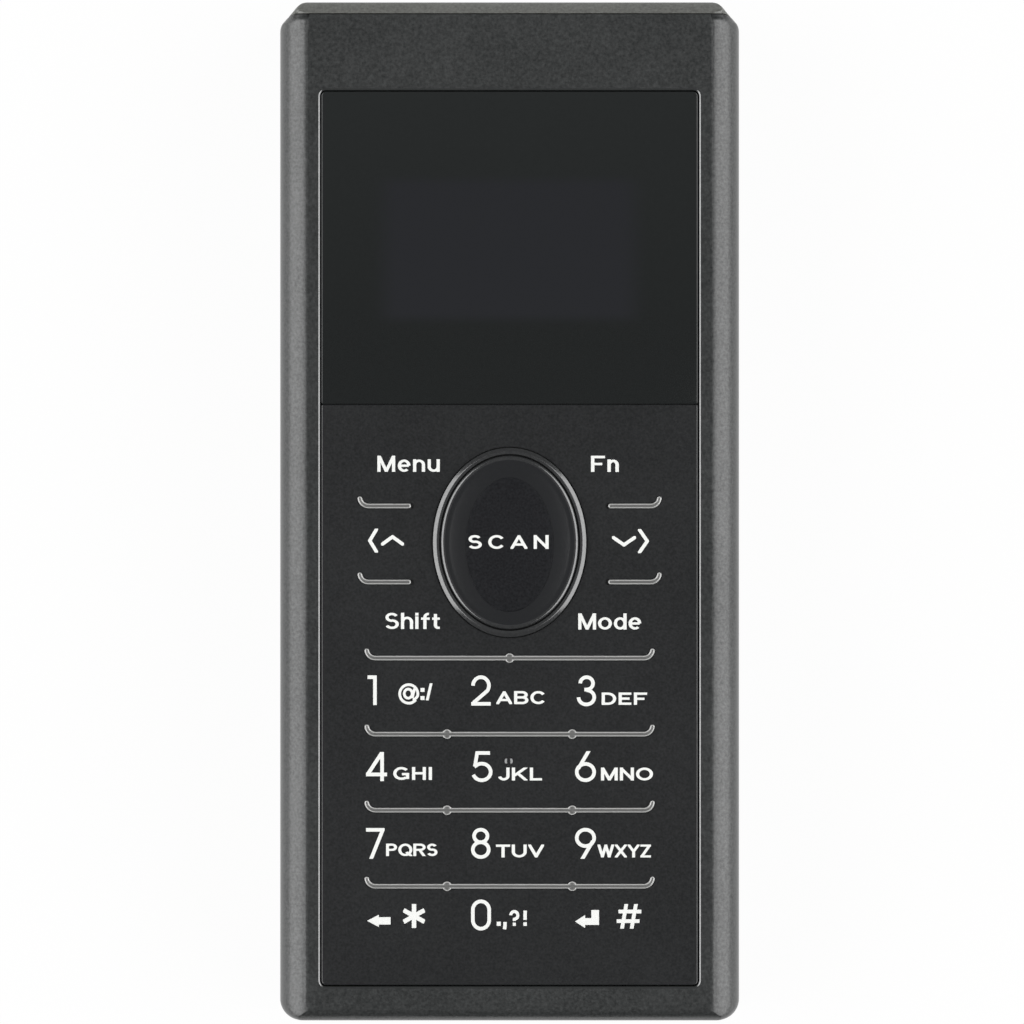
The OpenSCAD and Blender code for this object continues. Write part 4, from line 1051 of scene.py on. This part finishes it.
def build_scan_key(settings, materials):
    """The key from its plunger up over its flange and rim into the bowl, with a pocket for the inlay."""
    low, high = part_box("key_scan")
    inlay_low, inlay_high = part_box("scan_key_inlay")
    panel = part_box("keypad_panel")[0].z
    centre, (a, b), bowl = scan_ovals(settings)
    top, pocket, lap = high.z, inlay_low.z, high.x - a
    flange_z = panel - 0.45 * MM
    plunger = 1.8 * MM
    facets = settings.facets
    # The edge steps back under the lacquered rim
    under = 0.03 * MM
    rings = [oval_ring(centre, plunger, plunger, z, facets) for z in (low.z, flange_z)]
    for inset, z in ((-lap, flange_z), (-lap, panel), (under, panel), (under, top - settings.crest),
                     (settings.crest, top - under), (settings.trim - under, top - under),
                     (settings.trim, top)):
        rings.append(oval_ring(centre, a - inset, b - inset, z, facets))
    # The bowl's ovals change from the rim's shape to that of the inlay
    slit = 0.015 * MM
    edge_x, edge_y = inlay_high.x + slit, (inlay_high.y - inlay_low.y) / 2 + slit
    middle = (inlay_low + inlay_high) / 2
    steps = 12
    for share in [step / steps for step in range(steps + 1)]:
        place = centre + (middle - centre) * share
        ring = oval_ring(place, bowl[0] + (edge_x - bowl[0]) * share,
                         bowl[1] + (edge_y - bowl[1]) * share, 0, facets)
        rings.append([(x, y, top - bowl_depth((x, y), settings)) for x, y, _ in ring])
    rings.append(oval_ring(middle, edge_x, edge_y, pocket, facets))
    key = loft("scan_key_finished", rings, materials["scan_key_plastic"],
               poles=((centre.x, centre.y, low.z), (middle.x, middle.y, pocket)))
    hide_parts("key_scan")
    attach(key, "key_scan")
    build_trim(settings, materials, panel, top)
    build_inlay(settings, materials, middle, top, pocket)


def build_trim(settings, materials, panel, top):
    """Lacquered rim round the key's edge, with a rounded crest."""
    centre, (a, b) = scan_ovals(settings)[:2]
    profile = [(0, panel)] + [(inset, top - drop) for inset, drop in quarter(settings.crest)]
    profile += [(settings.trim, top), (settings.trim, top - settings.crest)]
    rings = [oval_ring(centre, a - inset, b - inset, z, settings.facets) for inset, z in profile]
    trim = loft("scan_key_rim_lacquered", rings, materials["ring_plastic"], looped=True)
    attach(trim, "key_scan")


def build_inlay(settings, materials, middle, top, pocket):
    """Inlay whose face carries on the bowl of the key."""
    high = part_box("scan_key_inlay")[1]
    a, b = high.x, high.y - middle.y
    edge = 0.04 * MM
    facets = settings.facets
    rings = [oval_ring(middle, a, b, pocket, facets)]
    steps = 14
    shapes = [(0, edge), (0.3 * edge, 0.3 * edge)]
    shapes += [(edge + (a - edge) * step / steps, 0) for step in range(steps)]
    for inset, drop in shapes:
        ring = oval_ring(middle, a - inset, b - inset * (b / a if inset > edge else 1), 0, facets)
        rings.append([(x, y, top - bowl_depth((x, y), settings) - drop) for x, y, _ in ring])
    face = top - bowl_depth((middle.x, middle.y), settings)
    inlay = loft("scan_key_inlay_finished", rings, materials["inlay_plastic"],
                 poles=((middle.x, middle.y, pocket), (middle.x, middle.y, face)))
    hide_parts("scan_key_inlay")
    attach(inlay, "key_scan")


def build_ring(settings, materials):
    """The ring round the scan key: a face that falls outwards, with rounded edges."""
    low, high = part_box("scan_key_ring")
    centre, ring_x, ring_y = ring_oval()
    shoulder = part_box("keypad_sheet")[1].z
    # A steep outer wall, the bevel that catches the light, the crest, and down into the bore
    shape = ((0, 0), (0.1, 0.52), (0.5, 0.92), (0.56, 0.97), (0.63, 1.0), (0.97, 0.995), (1, 0.9))
    profile = [(across * settings.ring_width, shoulder + (high.z - shoulder) * up)
               for across, up in shape]
    rings = [oval_ring(centre, ring_x - inset, ring_y - inset, z, settings.facets)
             for inset, z in [(0, low.z)] + profile + [(settings.ring_width, low.z)]]
    ring = loft("scan_key_ring_finished", rings, materials["ring_plastic"], looped=True)
    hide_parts("scan_key_ring")
    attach(ring, "root")


# ---- Legends --------------------------------------------------------------------------------

# Characters as the paths of a pen of one width. Both axes run from 0 to 1 between the middles of the
# outermost strokes, and a path that runs further is cut off at the character's box.

# Half height and height of small letters, and strokes and rounds that several characters share
X_MID = 0.36
X_TOP = 0.825
STEM = [(0, -0.3), (0, 1.3)]
RIGHT_STEM = [(1, -0.3), (1, 1.3)]
TOP_BAR = [(-0.3, 1), (1.3, 1)]
FOOT_BAR = [(-0.3, 0), (1.3, 0)]
ROUND = arc(0.5, 0.5, 0.5, 0.5, 0, 360, 32)
SMALL_ROUND = arc(0.5, X_MID, 0.5, X_MID, 0, 360, 28)
ARCH = [(1, -0.3), (1, 0.42)] + arc(0.5, 0.42, 0.5, 0.3, 0, 180, 14)
BOWL = [(-0.1, 1)] + arc(0.55, 0.75, 0.43, 0.25, 90, -90, 12) + [(0, 0.5)]
PEN = {
    "A": [[(-0.13, -0.26), (0.53, 1.06)], [(1.13, -0.26), (0.47, 1.06)], [(0.16, 0.28), (0.84, 0.28)]],
    "B": [STEM, [(0, 1)] + arc(0.58, 0.76, 0.36, 0.24, 90, -90, 12) + [(0, 0.52)],
          [(0, 0.52)] + arc(0.6, 0.26, 0.4, 0.26, 90, -90, 12) + [(0, 0)]],
    "C": [arc(0.54, 0.5, 0.54, 0.5, 36, 324, 26)],
    "D": [STEM, [(0, 1)] + arc(0.42, 0.5, 0.58, 0.5, 90, -90, 18) + [(0, 0)]],
    "E": [STEM, [(0, 1), (1.3, 1)], [(0, 0.51), (0.98, 0.51)], [(0, 0), (1.3, 0)]],
    "F": [STEM, [(0, 1), (1.3, 1)], [(0, 0.49), (0.9, 0.49)]],
    "G": [arc(0.52, 0.5, 0.52, 0.5, 40, 312, 26), [(1, -0.02), (1, 0.46)], [(0.56, 0.44), (1.3, 0.44)]],
    "H": [STEM, RIGHT_STEM, [(0, 0.52), (1, 0.52)]],
    "I": [STEM],
    "J": [[(1, 1.3), (1, 0.32)] + arc(0.5, 0.32, 0.5, 0.32, 0, -168, 14)],
    "K": [STEM, [(-0.05, 0.26), (1.06, 1.16)], [(0.33, 0.58), (1.08, -0.16)]],
    "L": [STEM, [(0, 0), (1.3, 0)]],
    "M": [STEM, RIGHT_STEM, [(0, 1.08), (0.52, -0.08)], [(1, 1.08), (0.48, -0.08)]],
    "N": [STEM, RIGHT_STEM, [(0, 1.0), (1, 0.0)]],
    "O": [ROUND],
    "P": [STEM, BOWL],
    "Q": [ROUND, [(0.6, 0.28), (1.1, -0.14)]],
    "R": [STEM, BOWL, [(0.5, 0.5), (1.02, -0.16)]],
    "S": [arc(0.49, 0.755, 0.45, 0.245, 24, 262, 18) + arc(0.5, 0.265, 0.5, 0.265, 84, -156, 18)],
    "T": [TOP_BAR, [(0.5, -0.3), (0.5, 1)]],
    "U": [[(0, 1.3), (0, 0.42)] + arc(0.5, 0.42, 0.5, 0.42, 180, 360, 16) + [(1, 1.3)]],
    "V": [[(-0.08, 1.16), (0.54, -0.08)], [(1.08, 1.16), (0.46, -0.08)]],
    "W": [[(-0.04, 1.16), (0.27, -0.08)], [(0.23, -0.08), (0.52, 1.08)], [(0.48, 1.08), (0.77, -0.08)],
          [(1.04, 1.16), (0.73, -0.08)]],
    "X": [[(-0.13, 1.16), (1.13, -0.16)], [(1.13, 1.16), (-0.13, -0.16)]],
    "Y": [[(-0.13, 1.16), (0.5, 0.46)], [(1.13, 1.16), (0.5, 0.46)], [(0.5, -0.3), (0.5, 0.52)]],
    "Z": [TOP_BAR, [(1.02, 1.02), (-0.02, -0.02)], FOOT_BAR],
    "e": [[(0.05, X_MID), (1, X_MID)], arc(0.5, X_MID, 0.5, X_MID, 0, 312, 26)],
    "n": [[(0, -0.3), (0, X_TOP)], ARCH],
    "u": [[(0, X_TOP), (0, 0.3)] + arc(0.5, 0.3, 0.5, 0.3, 180, 360, 14), [(1, -0.3), (1, X_TOP)]],
    "h": [STEM, ARCH],
    "i": [[(0, -0.3), (0, X_TOP)], [(0, 0.88), (0, 1.3)]],
    "f": [[(0.38, -0.3), (0.38, 0.76)] + arc(0.98, 0.76, 0.6, 0.24, 180, 80, 8),
          [(-0.4, 0.66), (1.2, 0.66)]],
    "t": [[(0.39, 1.0), (0.39, 0.2)] + arc(0.99, 0.2, 0.6, 0.2, 180, 275, 8) + [(1.4, 0)],
          [(-0.4, 0.66), (1.4, 0.66)]],
    "o": [SMALL_ROUND],
    "d": [SMALL_ROUND, RIGHT_STEM],
    "0": [arc(0.5, 0.68, 0.5, 0.32, 0, 180, 18) + arc(0.5, 0.32, 0.5, 0.32, 180, 360, 18) + [(1, 0.68)]],
    "1": [[(-0.6, 1), (1, 1)], RIGHT_STEM],
    "2": [arc(0.5, 0.682, 0.5, 0.318, 180, -38, 22) + [(0.03, 0.04)], FOOT_BAR],
    "3": [arc(0.515, 0.774, 0.405, 0.226, 180, -90, 22), [(0.37, 0.545), (0.52, 0.545)],
          arc(0.5, 0.262, 0.5, 0.262, 90, -180, 22)],
    "4": [[(0.8, 1.04), (-0.04, 0.16)], [(-0.3, 0.19), (1.3, 0.19)], [(0.82, -0.3), (0.82, 1.3)]],
    "5": [[(0.12, 1), (0.96, 1)], [(0.22, 1.08), (0.06, 0.5)],
          [(0.04, 0.5)] + arc(0.47, 0.305, 0.53, 0.305, 138, -160, 24)],
    "6": [arc(0.5, 0.3, 0.5, 0.3, 0, 360, 30), [(0.08, 0.42), (0.82, 1.22)]],
    "7": [[(-0.4, 1), (1.0, 1)], [(1.09, 1.12), (0.12, -0.2)]],
    "8": [arc(0.5, 0.77, 0.42, 0.23, 0, 360, 26), arc(0.5, 0.27, 0.5, 0.27, 0, 360, 30)],
    "9": [arc(0.5, 0.7, 0.5, 0.3, 0, 360, 30), [(0.92, 0.58), (0.18, -0.22)]],
    "@": [arc(0.5, 0.5, 0.5, 0.5, -40, -372, 34) + [(0.91, 0.28), (0.81, 0.21), (0.72, 0.22)],
          arc(0.47, 0.515, 0.22, 0.245, 0, 360, 20), [(0.82, 0.79), (0.69, 0.27)]],
    ":": [[(0, -0.6), (0, 0.24)], [(0, 0.76), (0, 1.6)]],
    "/": [[(-0.12, -0.2), (1.12, 1.2)]],
    ",": [[(0.3, 0.5), (0.3, 1.3)], [(0.4, 0.7), (-0.1, -0.2)]],
    "?": [arc(0.5, 0.7, 0.5, 0.3, 178, -50, 16) + [(0.5, 0.4), (0.5, 0.26)], [(0.5, -0.4), (0.5, 0.13)]],
    "!": [[(0, 0.36), (0, 1.3)], [(0, -0.4), (0, 0.16)]],
    "*": [[(0.5, -0.2), (0.5, 1.2)], [(-0.1, 0.2), (1.1, 0.8)], [(-0.1, 0.8), (1.1, 0.2)]],
    "#": [[(0.17, -0.2), (0.4, 1.2)], [(0.6, -0.2), (0.83, 1.2)], [(-0.05, 0.27), (0.97, 0.27)],
          [(0.03, 0.73), (1.05, 0.73)]],
    "<": [[(1.2, 1.14), (0, 0.5), (1.2, -0.14)]],
    ">": [[(-0.2, 1.14), (1, 0.5), (-0.2, -0.14)]],
    "^": [[(-0.08, -0.16), (0.5, 1), (1.08, -0.16)]],
    "v": [[(-0.08, 1.16), (0.5, 0), (1.08, 1.16)]],
}

# Signs drawn as filled outlines in a box from 0 to 1
SIGNS = {
    ".": [[(0, 0), (1, 0), (1, 1), (0, 1)]],
    "back": [[(0, 0.5), (0.5, 0), (0.5, 0.2), (1, 0.2), (1, 0.8), (0.5, 0.8), (0.5, 1)]],
    "enter": [[(0, 0.36), (0.42, 0), (0.42, 0.17), (1, 0.17), (1, 1), (0.68, 1), (0.68, 0.55),
               (0.42, 0.55), (0.42, 0.72)]],
}

# Widths of the letters against their height
WIDE = {"A": 1.22, "B": 1.11, "C": 1.15, "D": 1.17, "E": 1.03, "F": 1.07, "G": 1.25, "H": 1.09,
        "I": 0.29, "J": 0.9, "K": 1.22, "L": 0.95, "M": 1.29, "N": 1.08, "O": 1.3, "P": 1.04, "Q": 1.3,
        "R": 1.16, "S": 0.99, "T": 1.08, "U": 1.14, "V": 1.2, "W": 1.66, "X": 1.2, "Y": 1.2, "Z": 1.06,
        "e": 0.92, "n": 0.87, "u": 0.88, "h": 0.87, "i": 0.27, "f": 0.64, "t": 0.54, "o": 1.0, "d": 0.92}

DIGIT_STROKE = 0.39
# In words and capitals, flat strokes are thinner than upright ones by this share
FLAT_STROKE = 0.72

# Legends by key: text, left and lower edge from the middle of the key plate, width, height, and
# stroke, in millimetres, and the gap between letters as a share of their height
LEGENDS = {
    "key_1": (("1", -3.33, -0.97, 1.0, 3.22, DIGIT_STROKE, 0), ("@", 0.02, -0.91, 2.26, 2.3, 0.29, 0),
              (":", 2.42, -0.42, 0.44, 1.31, 0.44, 0), ("/", 3.01, -0.46, 0.71, 1.85, 0.3, 0)),
    "key_2": (("2", -4.17, -1.03, 2.12, 3.28, DIGIT_STROKE, 0),
              ("ABC", -1.44, -0.87, 5.31, 1.42, 0.35, 0.15)),
    "key_3": (("3", -4.81, -1.1, 2.1, 3.35, DIGIT_STROKE, 0), ("DEF", -2.1, -0.95, 4.93, 1.34, 0.35, 0.2)),
    "key_4": (("4", -3.49, -0.97, 2.28, 3.16, 0.4, 0), ("GHI", -0.54, -0.84, 4.26, 1.4, 0.35, 0.22)),
    "key_5": (("5", -4.08, -1.07, 2.22, 3.35, DIGIT_STROKE, 0), ("JKL", -1.26, -0.9, 4.78, 1.4, 0.35, 0.18)),
    "key_6": (("6", -5.0, -1.07, 2.28, 3.35, DIGIT_STROKE, 0), ("MNO", -2.18, -0.9, 5.65, 1.4, 0.35, 0.16)),
    "key_7": (("7", -3.49, -1.15, 2.01, 3.34, DIGIT_STROKE, 0),
              ("PQRS", -1.32, -0.85, 5.59, 1.35, 0.32, 0.08)),
    "key_8": (("8", -4.19, -1.15, 2.12, 3.36, DIGIT_STROKE, 0), ("TUV", -1.48, -1.0, 5.22, 1.4, 0.35, 0.12)),
    "key_9": (("9", -5.0, -1.15, 2.28, 3.36, DIGIT_STROKE, 0), ("WXYZ", -2.55, -1.0, 5.8, 1.4, 0.32, 0.06)),
    "key_0": (("0", -4.19, -0.67, 2.17, 3.36, DIGIT_STROKE, 0), (".", -1.4, -0.17, 0.45, 0.45, 0.45, 0),
              (",", -0.73, -0.62, 0.52, 0.9, 0.37, 0), ("?", -0.04, -0.17, 1.1, 1.72, 0.33, 0),
              ("!", 1.5, -0.17, 0.45, 1.66, 0.37, 0)),
    "key_star": (("back", -3.38, -0.29, 2.55, 1.33, 0, 0), ("*", 0.53, -0.4, 2.38, 2.6, 0.48, 0)),
    "key_hash": (("enter", -5.0, -0.4, 2.61, 1.95, 0, 0), ("#", -0.55, -0.47, 2.83, 2.67, 0.4, 0)),
    "key_menu": (("Menu", -2.86, -0.42, 6.78, 1.75, 0.35, 0.16),),
    "key_function": (("Fn", -2.66, -0.43, 3.02, 1.75, 0.37, 0.15),),
    "key_left": (("<", -2.325, -0.93, 1.08, 2.6, 0.37, 0), ("^", -0.915, -0.17, 2.49, 1.14, 0.37, 0)),
    "key_right": (("v", -1.925, -0.28, 2.6, 1.14, 0.37, 0), (">", 0.895, -0.99, 1.2, 2.61, 0.37, 0)),
    "key_shift": (("Shift", -2.03, -0.97, 5.94, 1.76, 0.35, 0.13),),
    "key_mode": (("Mode", -4.05, -1.03, 6.85, 1.75, 0.35, 0.12),),
}
SCAN_LEGEND = ("SCAN", -4.5, -0.7, 8.74, 1.5, 0.35, 0.46)


def character_area(sign, x, y, width, height, stroke, flat):
    """Outlines that fill one character, and its box, all in millimetres."""
    box = [(x, y), (x + width, y), (x + width, y + height), (x, y + height)]
    if sign in SIGNS:
        return [[(x + u * width, y + v * height) for u, v in outline] for outline in SIGNS[sign]], None
    pieces = []
    for path in PEN[sign]:
        # The pen is round in a frame that is stretched upwards, so flat strokes come out thinner
        placed = [(x + stroke / 2 + u * (width - stroke),
                   y / flat + stroke / 2 + v * (height / flat - stroke)) for u, v in path]
        pieces += [[(px, py * flat) for px, py in quad] for quad in ribbon(placed, stroke)]
    return pieces, box


def legend_area(legends, centre):
    """Points and triangles of all characters of some legends, in metres."""
    points, triangles = [], []
    for text, x, y, width, height, stroke, gap in legends:
        signs = [text] if text in SIGNS or len(text) == 1 else list(text)
        widths = [1.0] if len(signs) == 1 else [WIDE[sign] for sign in signs]
        room = width - gap * height * (len(signs) - 1)
        scale = room / sum(widths)
        for sign, wide in zip(signs, widths):
            flat = 1.0 if len(signs) == 1 else FLAT_STROKE
            pieces, box = character_area(sign, x, y, wide * scale, height, stroke, flat)
            place = [[(centre.x + px * MM, centre.y + py * MM) for px, py in outline]
                     for outline in pieces + ([box] if box else [])]
            solid, clip = (place[:-1], place[-1]) if box else (place, None)
            found, faces = region(solid, clip=clip)
            triangles += [[i + len(points) for i in face] for face in faces]
            points += found
            x += wide * scale + gap * height
    return points, triangles


def legend_centre(key):
    """Middle of a key's plate. Plates that the ring cuts short are measured to their full box."""
    low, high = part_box(key)
    return (low + high) / 2


def build_legends(settings, scan_settings, materials):
    """Ink on each patch of the film; where it reaches over the slope on the left, it stays still instead of
    moving with the key.
    """
    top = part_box("keypad_sheet")[1].z
    for key in PLATE_KEYS:
        flat = legend_area(LEGENDS[key], legend_centre(key))
        ink = prism(f"legend_{key}", flat, top - INK_SINK, top + settings.print_height, materials["ink"])
        outer = key_outline(key)
        inner = shrink(outer, settings.slope)
        left = min(point[0] for point in inner)
        if min(flat[0][i].x for face in flat[1] for i in face) < left:
            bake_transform(ink)
        else:
            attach(ink, key)
    centre = scan_ovals(scan_settings)[0]
    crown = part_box("key_scan")[1].z
    ink = prism("legend_key_scan", legend_area([SCAN_LEGEND], centre), crown - INK_SINK,
                crown + settings.print_height, materials["ink"],
                height=lambda point: -bowl_depth(point, scan_settings))
    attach(ink, "key_scan")


def build_bump(materials):
    """Small dome on key 5, which a thumb finds without looking."""
    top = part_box("keypad_sheet")[1].z
    # It sits just over the letters
    centre = legend_centre("key_5")
    x, y = centre.x - 0.1 * MM, centre.y + 1.2 * MM
    radius, rise = 0.5 * MM, 0.25 * MM
    base = top - SINK
    rings = [at_height(oval(x, y, radius, radius, SMALL_FACETS), base)]
    for angle in [math.radians(degrees) for degrees in range(0, 90, 15)]:
        r = radius * math.cos(angle)
        rings.append(at_height(oval(x, y, r, r, SMALL_FACETS), top + rise * math.sin(angle)))
    bump = loft("key_5_bump", rings, materials["bump"], poles=((x, y, base), (x, y, top + rise)))
    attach(bump, "key_5")


# ---- Construction left showing --------------------------------------------------------------

def finish_inside(materials):
    """Gives every construction node the finish of its slot."""
    for piece in frame["nodes"].values():
        for slot in piece.material_slots:
            slot.material = materials[slot.material.name.split(".")[0]]


# ---- Stage ----------------------------------------------------------------------------------

def build_floor(settings):
    """Round paper floor, seen mostly as plain white and lit for the rest."""
    material, tree, place = start_material("matt_paper_pale")
    tint = mix_tints(tree, noise(tree, place, 2, Detail=2.0), shade(settings.floor_colour, 0.98),
                     shade(settings.floor_colour, 1.02))
    matt = add(tree, "ShaderNodeBsdfDiffuse", {"Color": tint}).outputs[0]
    white = add(tree, "ShaderNodeEmission", {"Strength": 1.0}).outputs[0]
    rays = add(tree, "ShaderNodeLightPath").outputs
    seen = calc(tree, "MAXIMUM", rays["Is Camera Ray"], rays["Is Glossy Ray"])
    seen = calc(tree, "MAXIMUM", seen, rays["Is Transmission Ray"])
    share = calc(tree, "MULTIPLY", seen, settings.floor_white)
    both = add(tree, "ShaderNodeMixShader", {0: share, 1: matt, 2: white}).outputs[0]
    add(tree, "ShaderNodeOutputMaterial", {"Surface": both})
    reach = 4.0
    mesh = bmesh.new()
    mesh.faces.new([mesh.verts.new(point) for point in at_height(oval(0, 0, reach, reach, 60), 0)])
    floor = to_object("floor", mesh, material)


def build_world(settings):
    """Sky of a dark room: pale low down at the sides, and dim overhead."""
    world = bpy.data.worlds.new("studio_room")
    bpy.context.scene.world = world
    world.use_nodes = True
    tree = world.node_tree
    tree.nodes.clear()
    way = add(tree, "ShaderNodeTexCoord").outputs["Generated"]
    split = add(tree, "ShaderNodeSeparateXYZ", {0: way}).outputs
    ramp = add(tree, "ShaderNodeValToRGB", {"Fac": split["Z"]})
    sky, overhead = settings.sky_light, settings.sky_light * 0.7
    stops = ramp.color_ramp.elements
    for at in (0.05, 0.1, 0.5):
        stops.new(at)
    for stop, (at, level) in zip(stops, ((0.0, 1.0), (0.05, 0.9), (0.1, sky), (0.5, sky),
                                         (1.0, overhead))):
        stop.position = at
        stop.color = (level, level, level, 1)
    # The two ends of the room stay dim down to the horizon
    sides = remap(tree, calc(tree, "ABSOLUTE", split["X"]), sky, 1.0, 0.45, 0.8)
    level = calc(tree, "MAXIMUM", calc(tree, "MULTIPLY", ramp.outputs["Color"], sides), overhead)
    light = add(tree, "ShaderNodeBackground", {"Color": level})
    add(tree, "ShaderNodeOutputWorld", {"Surface": light.outputs[0]})


def soft_box(name, target, direction, distance, size, radiance):
    """Rectangular area light that faces a target from a direction."""
    light = bpy.data.lights.new(name, "AREA")
    light.shape = "RECTANGLE"
    light.size, light.size_y = size
    light.energy = radiance * math.pi * size[0] * size[1]
    lamp = bpy.data.objects.new(name, light)
    bpy.context.scene.collection.objects.link(lamp)
    way = Vector(direction).normalized()
    lamp.location = target + way * distance
    lamp.rotation_euler = way.to_track_quat("Z", "Y").to_euler()
    lamp.visible_camera = False


def build_stage(settings):
    """A far camera straight above, a floor, a sky, and a wide soft light on either side."""
    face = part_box("front_shell")[1].z
    camera = bpy.data.cameras.new("camera")
    camera.sensor_width = 36.0
    camera.lens = camera.sensor_width * settings.camera_distance / settings.view_height
    camera.clip_end = 20.0
    eye = bpy.data.objects.new("camera", camera)
    bpy.context.scene.collection.objects.link(eye)
    eye.location = (settings.view_x, settings.view_y, face + settings.camera_distance)
    bpy.context.scene.camera = eye
    build_floor(settings)
    build_world(settings)
    target = Vector((0, 0, face))
    away = 1.0
    lift = math.radians(settings.side_height)
    for side in (-1, 1):
        soft_box(f"side_light_{side + 1}", target, (side * math.cos(lift), 0, math.sin(lift)), away,
                 (settings.side_width, settings.side_rise), settings.side_light)
    bpy.context.scene.view_settings.view_transform = "Standard"


# ---- Operators ------------------------------------------------------------------------------

MATERIALS = {}


def finishes():
    """All finishes, made once."""
    if not MATERIALS:
        MATERIALS.update(make_materials(bpy.context.scene.collector))
    return MATERIALS


class COLLECTOR_OT_stage(bpy.types.Operator):
    """Set up the camera, the lights and the floor"""
    bl_idname = "collector.stage"
    bl_label = "Stage"

    def execute(self, context):
        build_stage(context.scene.collector.stage)
        return {"FINISHED"}


class COLLECTOR_OT_housing(bpy.types.Operator):
    """Build both shells and the battery door"""
    bl_idname = "collector.housing"
    bl_label = "Housing"

    def execute(self, context):
        build_housing(context.scene.collector.housing, finishes())
        return {"FINISHED"}


class COLLECTOR_OT_scan_head(bpy.types.Operator):
    """Build the scan head's cap, window and gasket"""
    bl_idname = "collector.scan_head"
    bl_label = "Scan Head"

    def execute(self, context):
        build_scan_head(context.scene.collector.housing, finishes())
        return {"FINISHED"}


class COLLECTOR_OT_hardware(bpy.types.Operator):
    """Build the case screws and the data socket"""
    bl_idname = "collector.hardware"
    bl_label = "Screws and Socket"

    def execute(self, context):
        build_hardware(context.scene.collector.housing, finishes())
        return {"FINISHED"}


class COLLECTOR_OT_lens(bpy.types.Operator):
    """Build the display lens"""
    bl_idname = "collector.lens"
    bl_label = "Display Lens"

    def execute(self, context):
        build_lens(context.scene.collector.display, finishes())
        return {"FINISHED"}


class COLLECTOR_OT_sheet(bpy.types.Operator):
    """Build the keypad film, with a slope round each key"""
    bl_idname = "collector.sheet"
    bl_label = "Keypad Film"

    def execute(self, context):
        build_sheet(context.scene.collector.keypad, finishes())
        build_bump(finishes())
        return {"FINISHED"}


class COLLECTOR_OT_ridges(bpy.types.Operator):
    """Build the ridges between the rows of keys, and their studs"""
    bl_idname = "collector.ridges"
    bl_label = "Ridges"

    def execute(self, context):
        build_ridges(context.scene.collector.keypad, finishes())
        return {"FINISHED"}


class COLLECTOR_OT_scan_key(bpy.types.Operator):
    """Build the scan key, its inlay and the ring round it"""
    bl_idname = "collector.scan_key"
    bl_label = "Scan Key"

    def execute(self, context):
        build_scan_key(context.scene.collector.scan_key, finishes())
        build_ring(context.scene.collector.scan_key, finishes())
        return {"FINISHED"}


class COLLECTOR_OT_legends(bpy.types.Operator):
    """Print the legends on the keys"""
    bl_idname = "collector.legends"
    bl_label = "Legends"

    def execute(self, context):
        collector = context.scene.collector
        build_legends(collector.keypad, collector.scan_key, finishes())
        return {"FINISHED"}


class COLLECTOR_OT_inside(bpy.types.Operator):
    """Finish the parts inside the housing"""
    bl_idname = "collector.inside"
    bl_label = "Inside Parts"

    def execute(self, context):
        finish_inside(finishes())
        return {"FINISHED"}


STEPS = (COLLECTOR_OT_stage, COLLECTOR_OT_housing, COLLECTOR_OT_scan_head, COLLECTOR_OT_hardware,
         COLLECTOR_OT_lens, COLLECTOR_OT_sheet, COLLECTOR_OT_ridges, COLLECTOR_OT_scan_key,
         COLLECTOR_OT_legends, COLLECTOR_OT_inside)


class COLLECTOR_PT_panel(bpy.types.Panel):
    """Lists the steps and their settings"""
    bl_idname = "COLLECTOR_PT_panel"
    bl_label = "Collector"
    bl_space_type = "VIEW_3D"
    bl_region_type = "UI"
    bl_category = "Collector"

    def draw(self, context):
        for group in ("housing", "display", "keypad", "scan_key", "stage"):
            settings = getattr(context.scene.collector, group)
            box = self.layout.box()
            for name in settings.bl_rna.properties.keys()[2:]:
                box.prop(settings, name)
        for step in STEPS:
            self.layout.operator(step.bl_idname)


CLASSES = (HousingSettings, DisplaySettings, KeypadSettings, ScanKeySettings, StageSettings,
           CollectorSettings) + STEPS + (COLLECTOR_PT_panel,)


def register():
    for item in CLASSES:
        bpy.utils.register_class(item)
    bpy.types.Scene.collector = PointerProperty(type=CollectorSettings)


def unregister():
    del bpy.types.Scene.collector
    for item in reversed(CLASSES):
        bpy.utils.unregister_class(item)


def main():
    register()
    for step in STEPS:
        group, name = step.bl_idname.split(".")
        getattr(getattr(bpy.ops, group), name)()


if __name__ == "__main__":
    main()
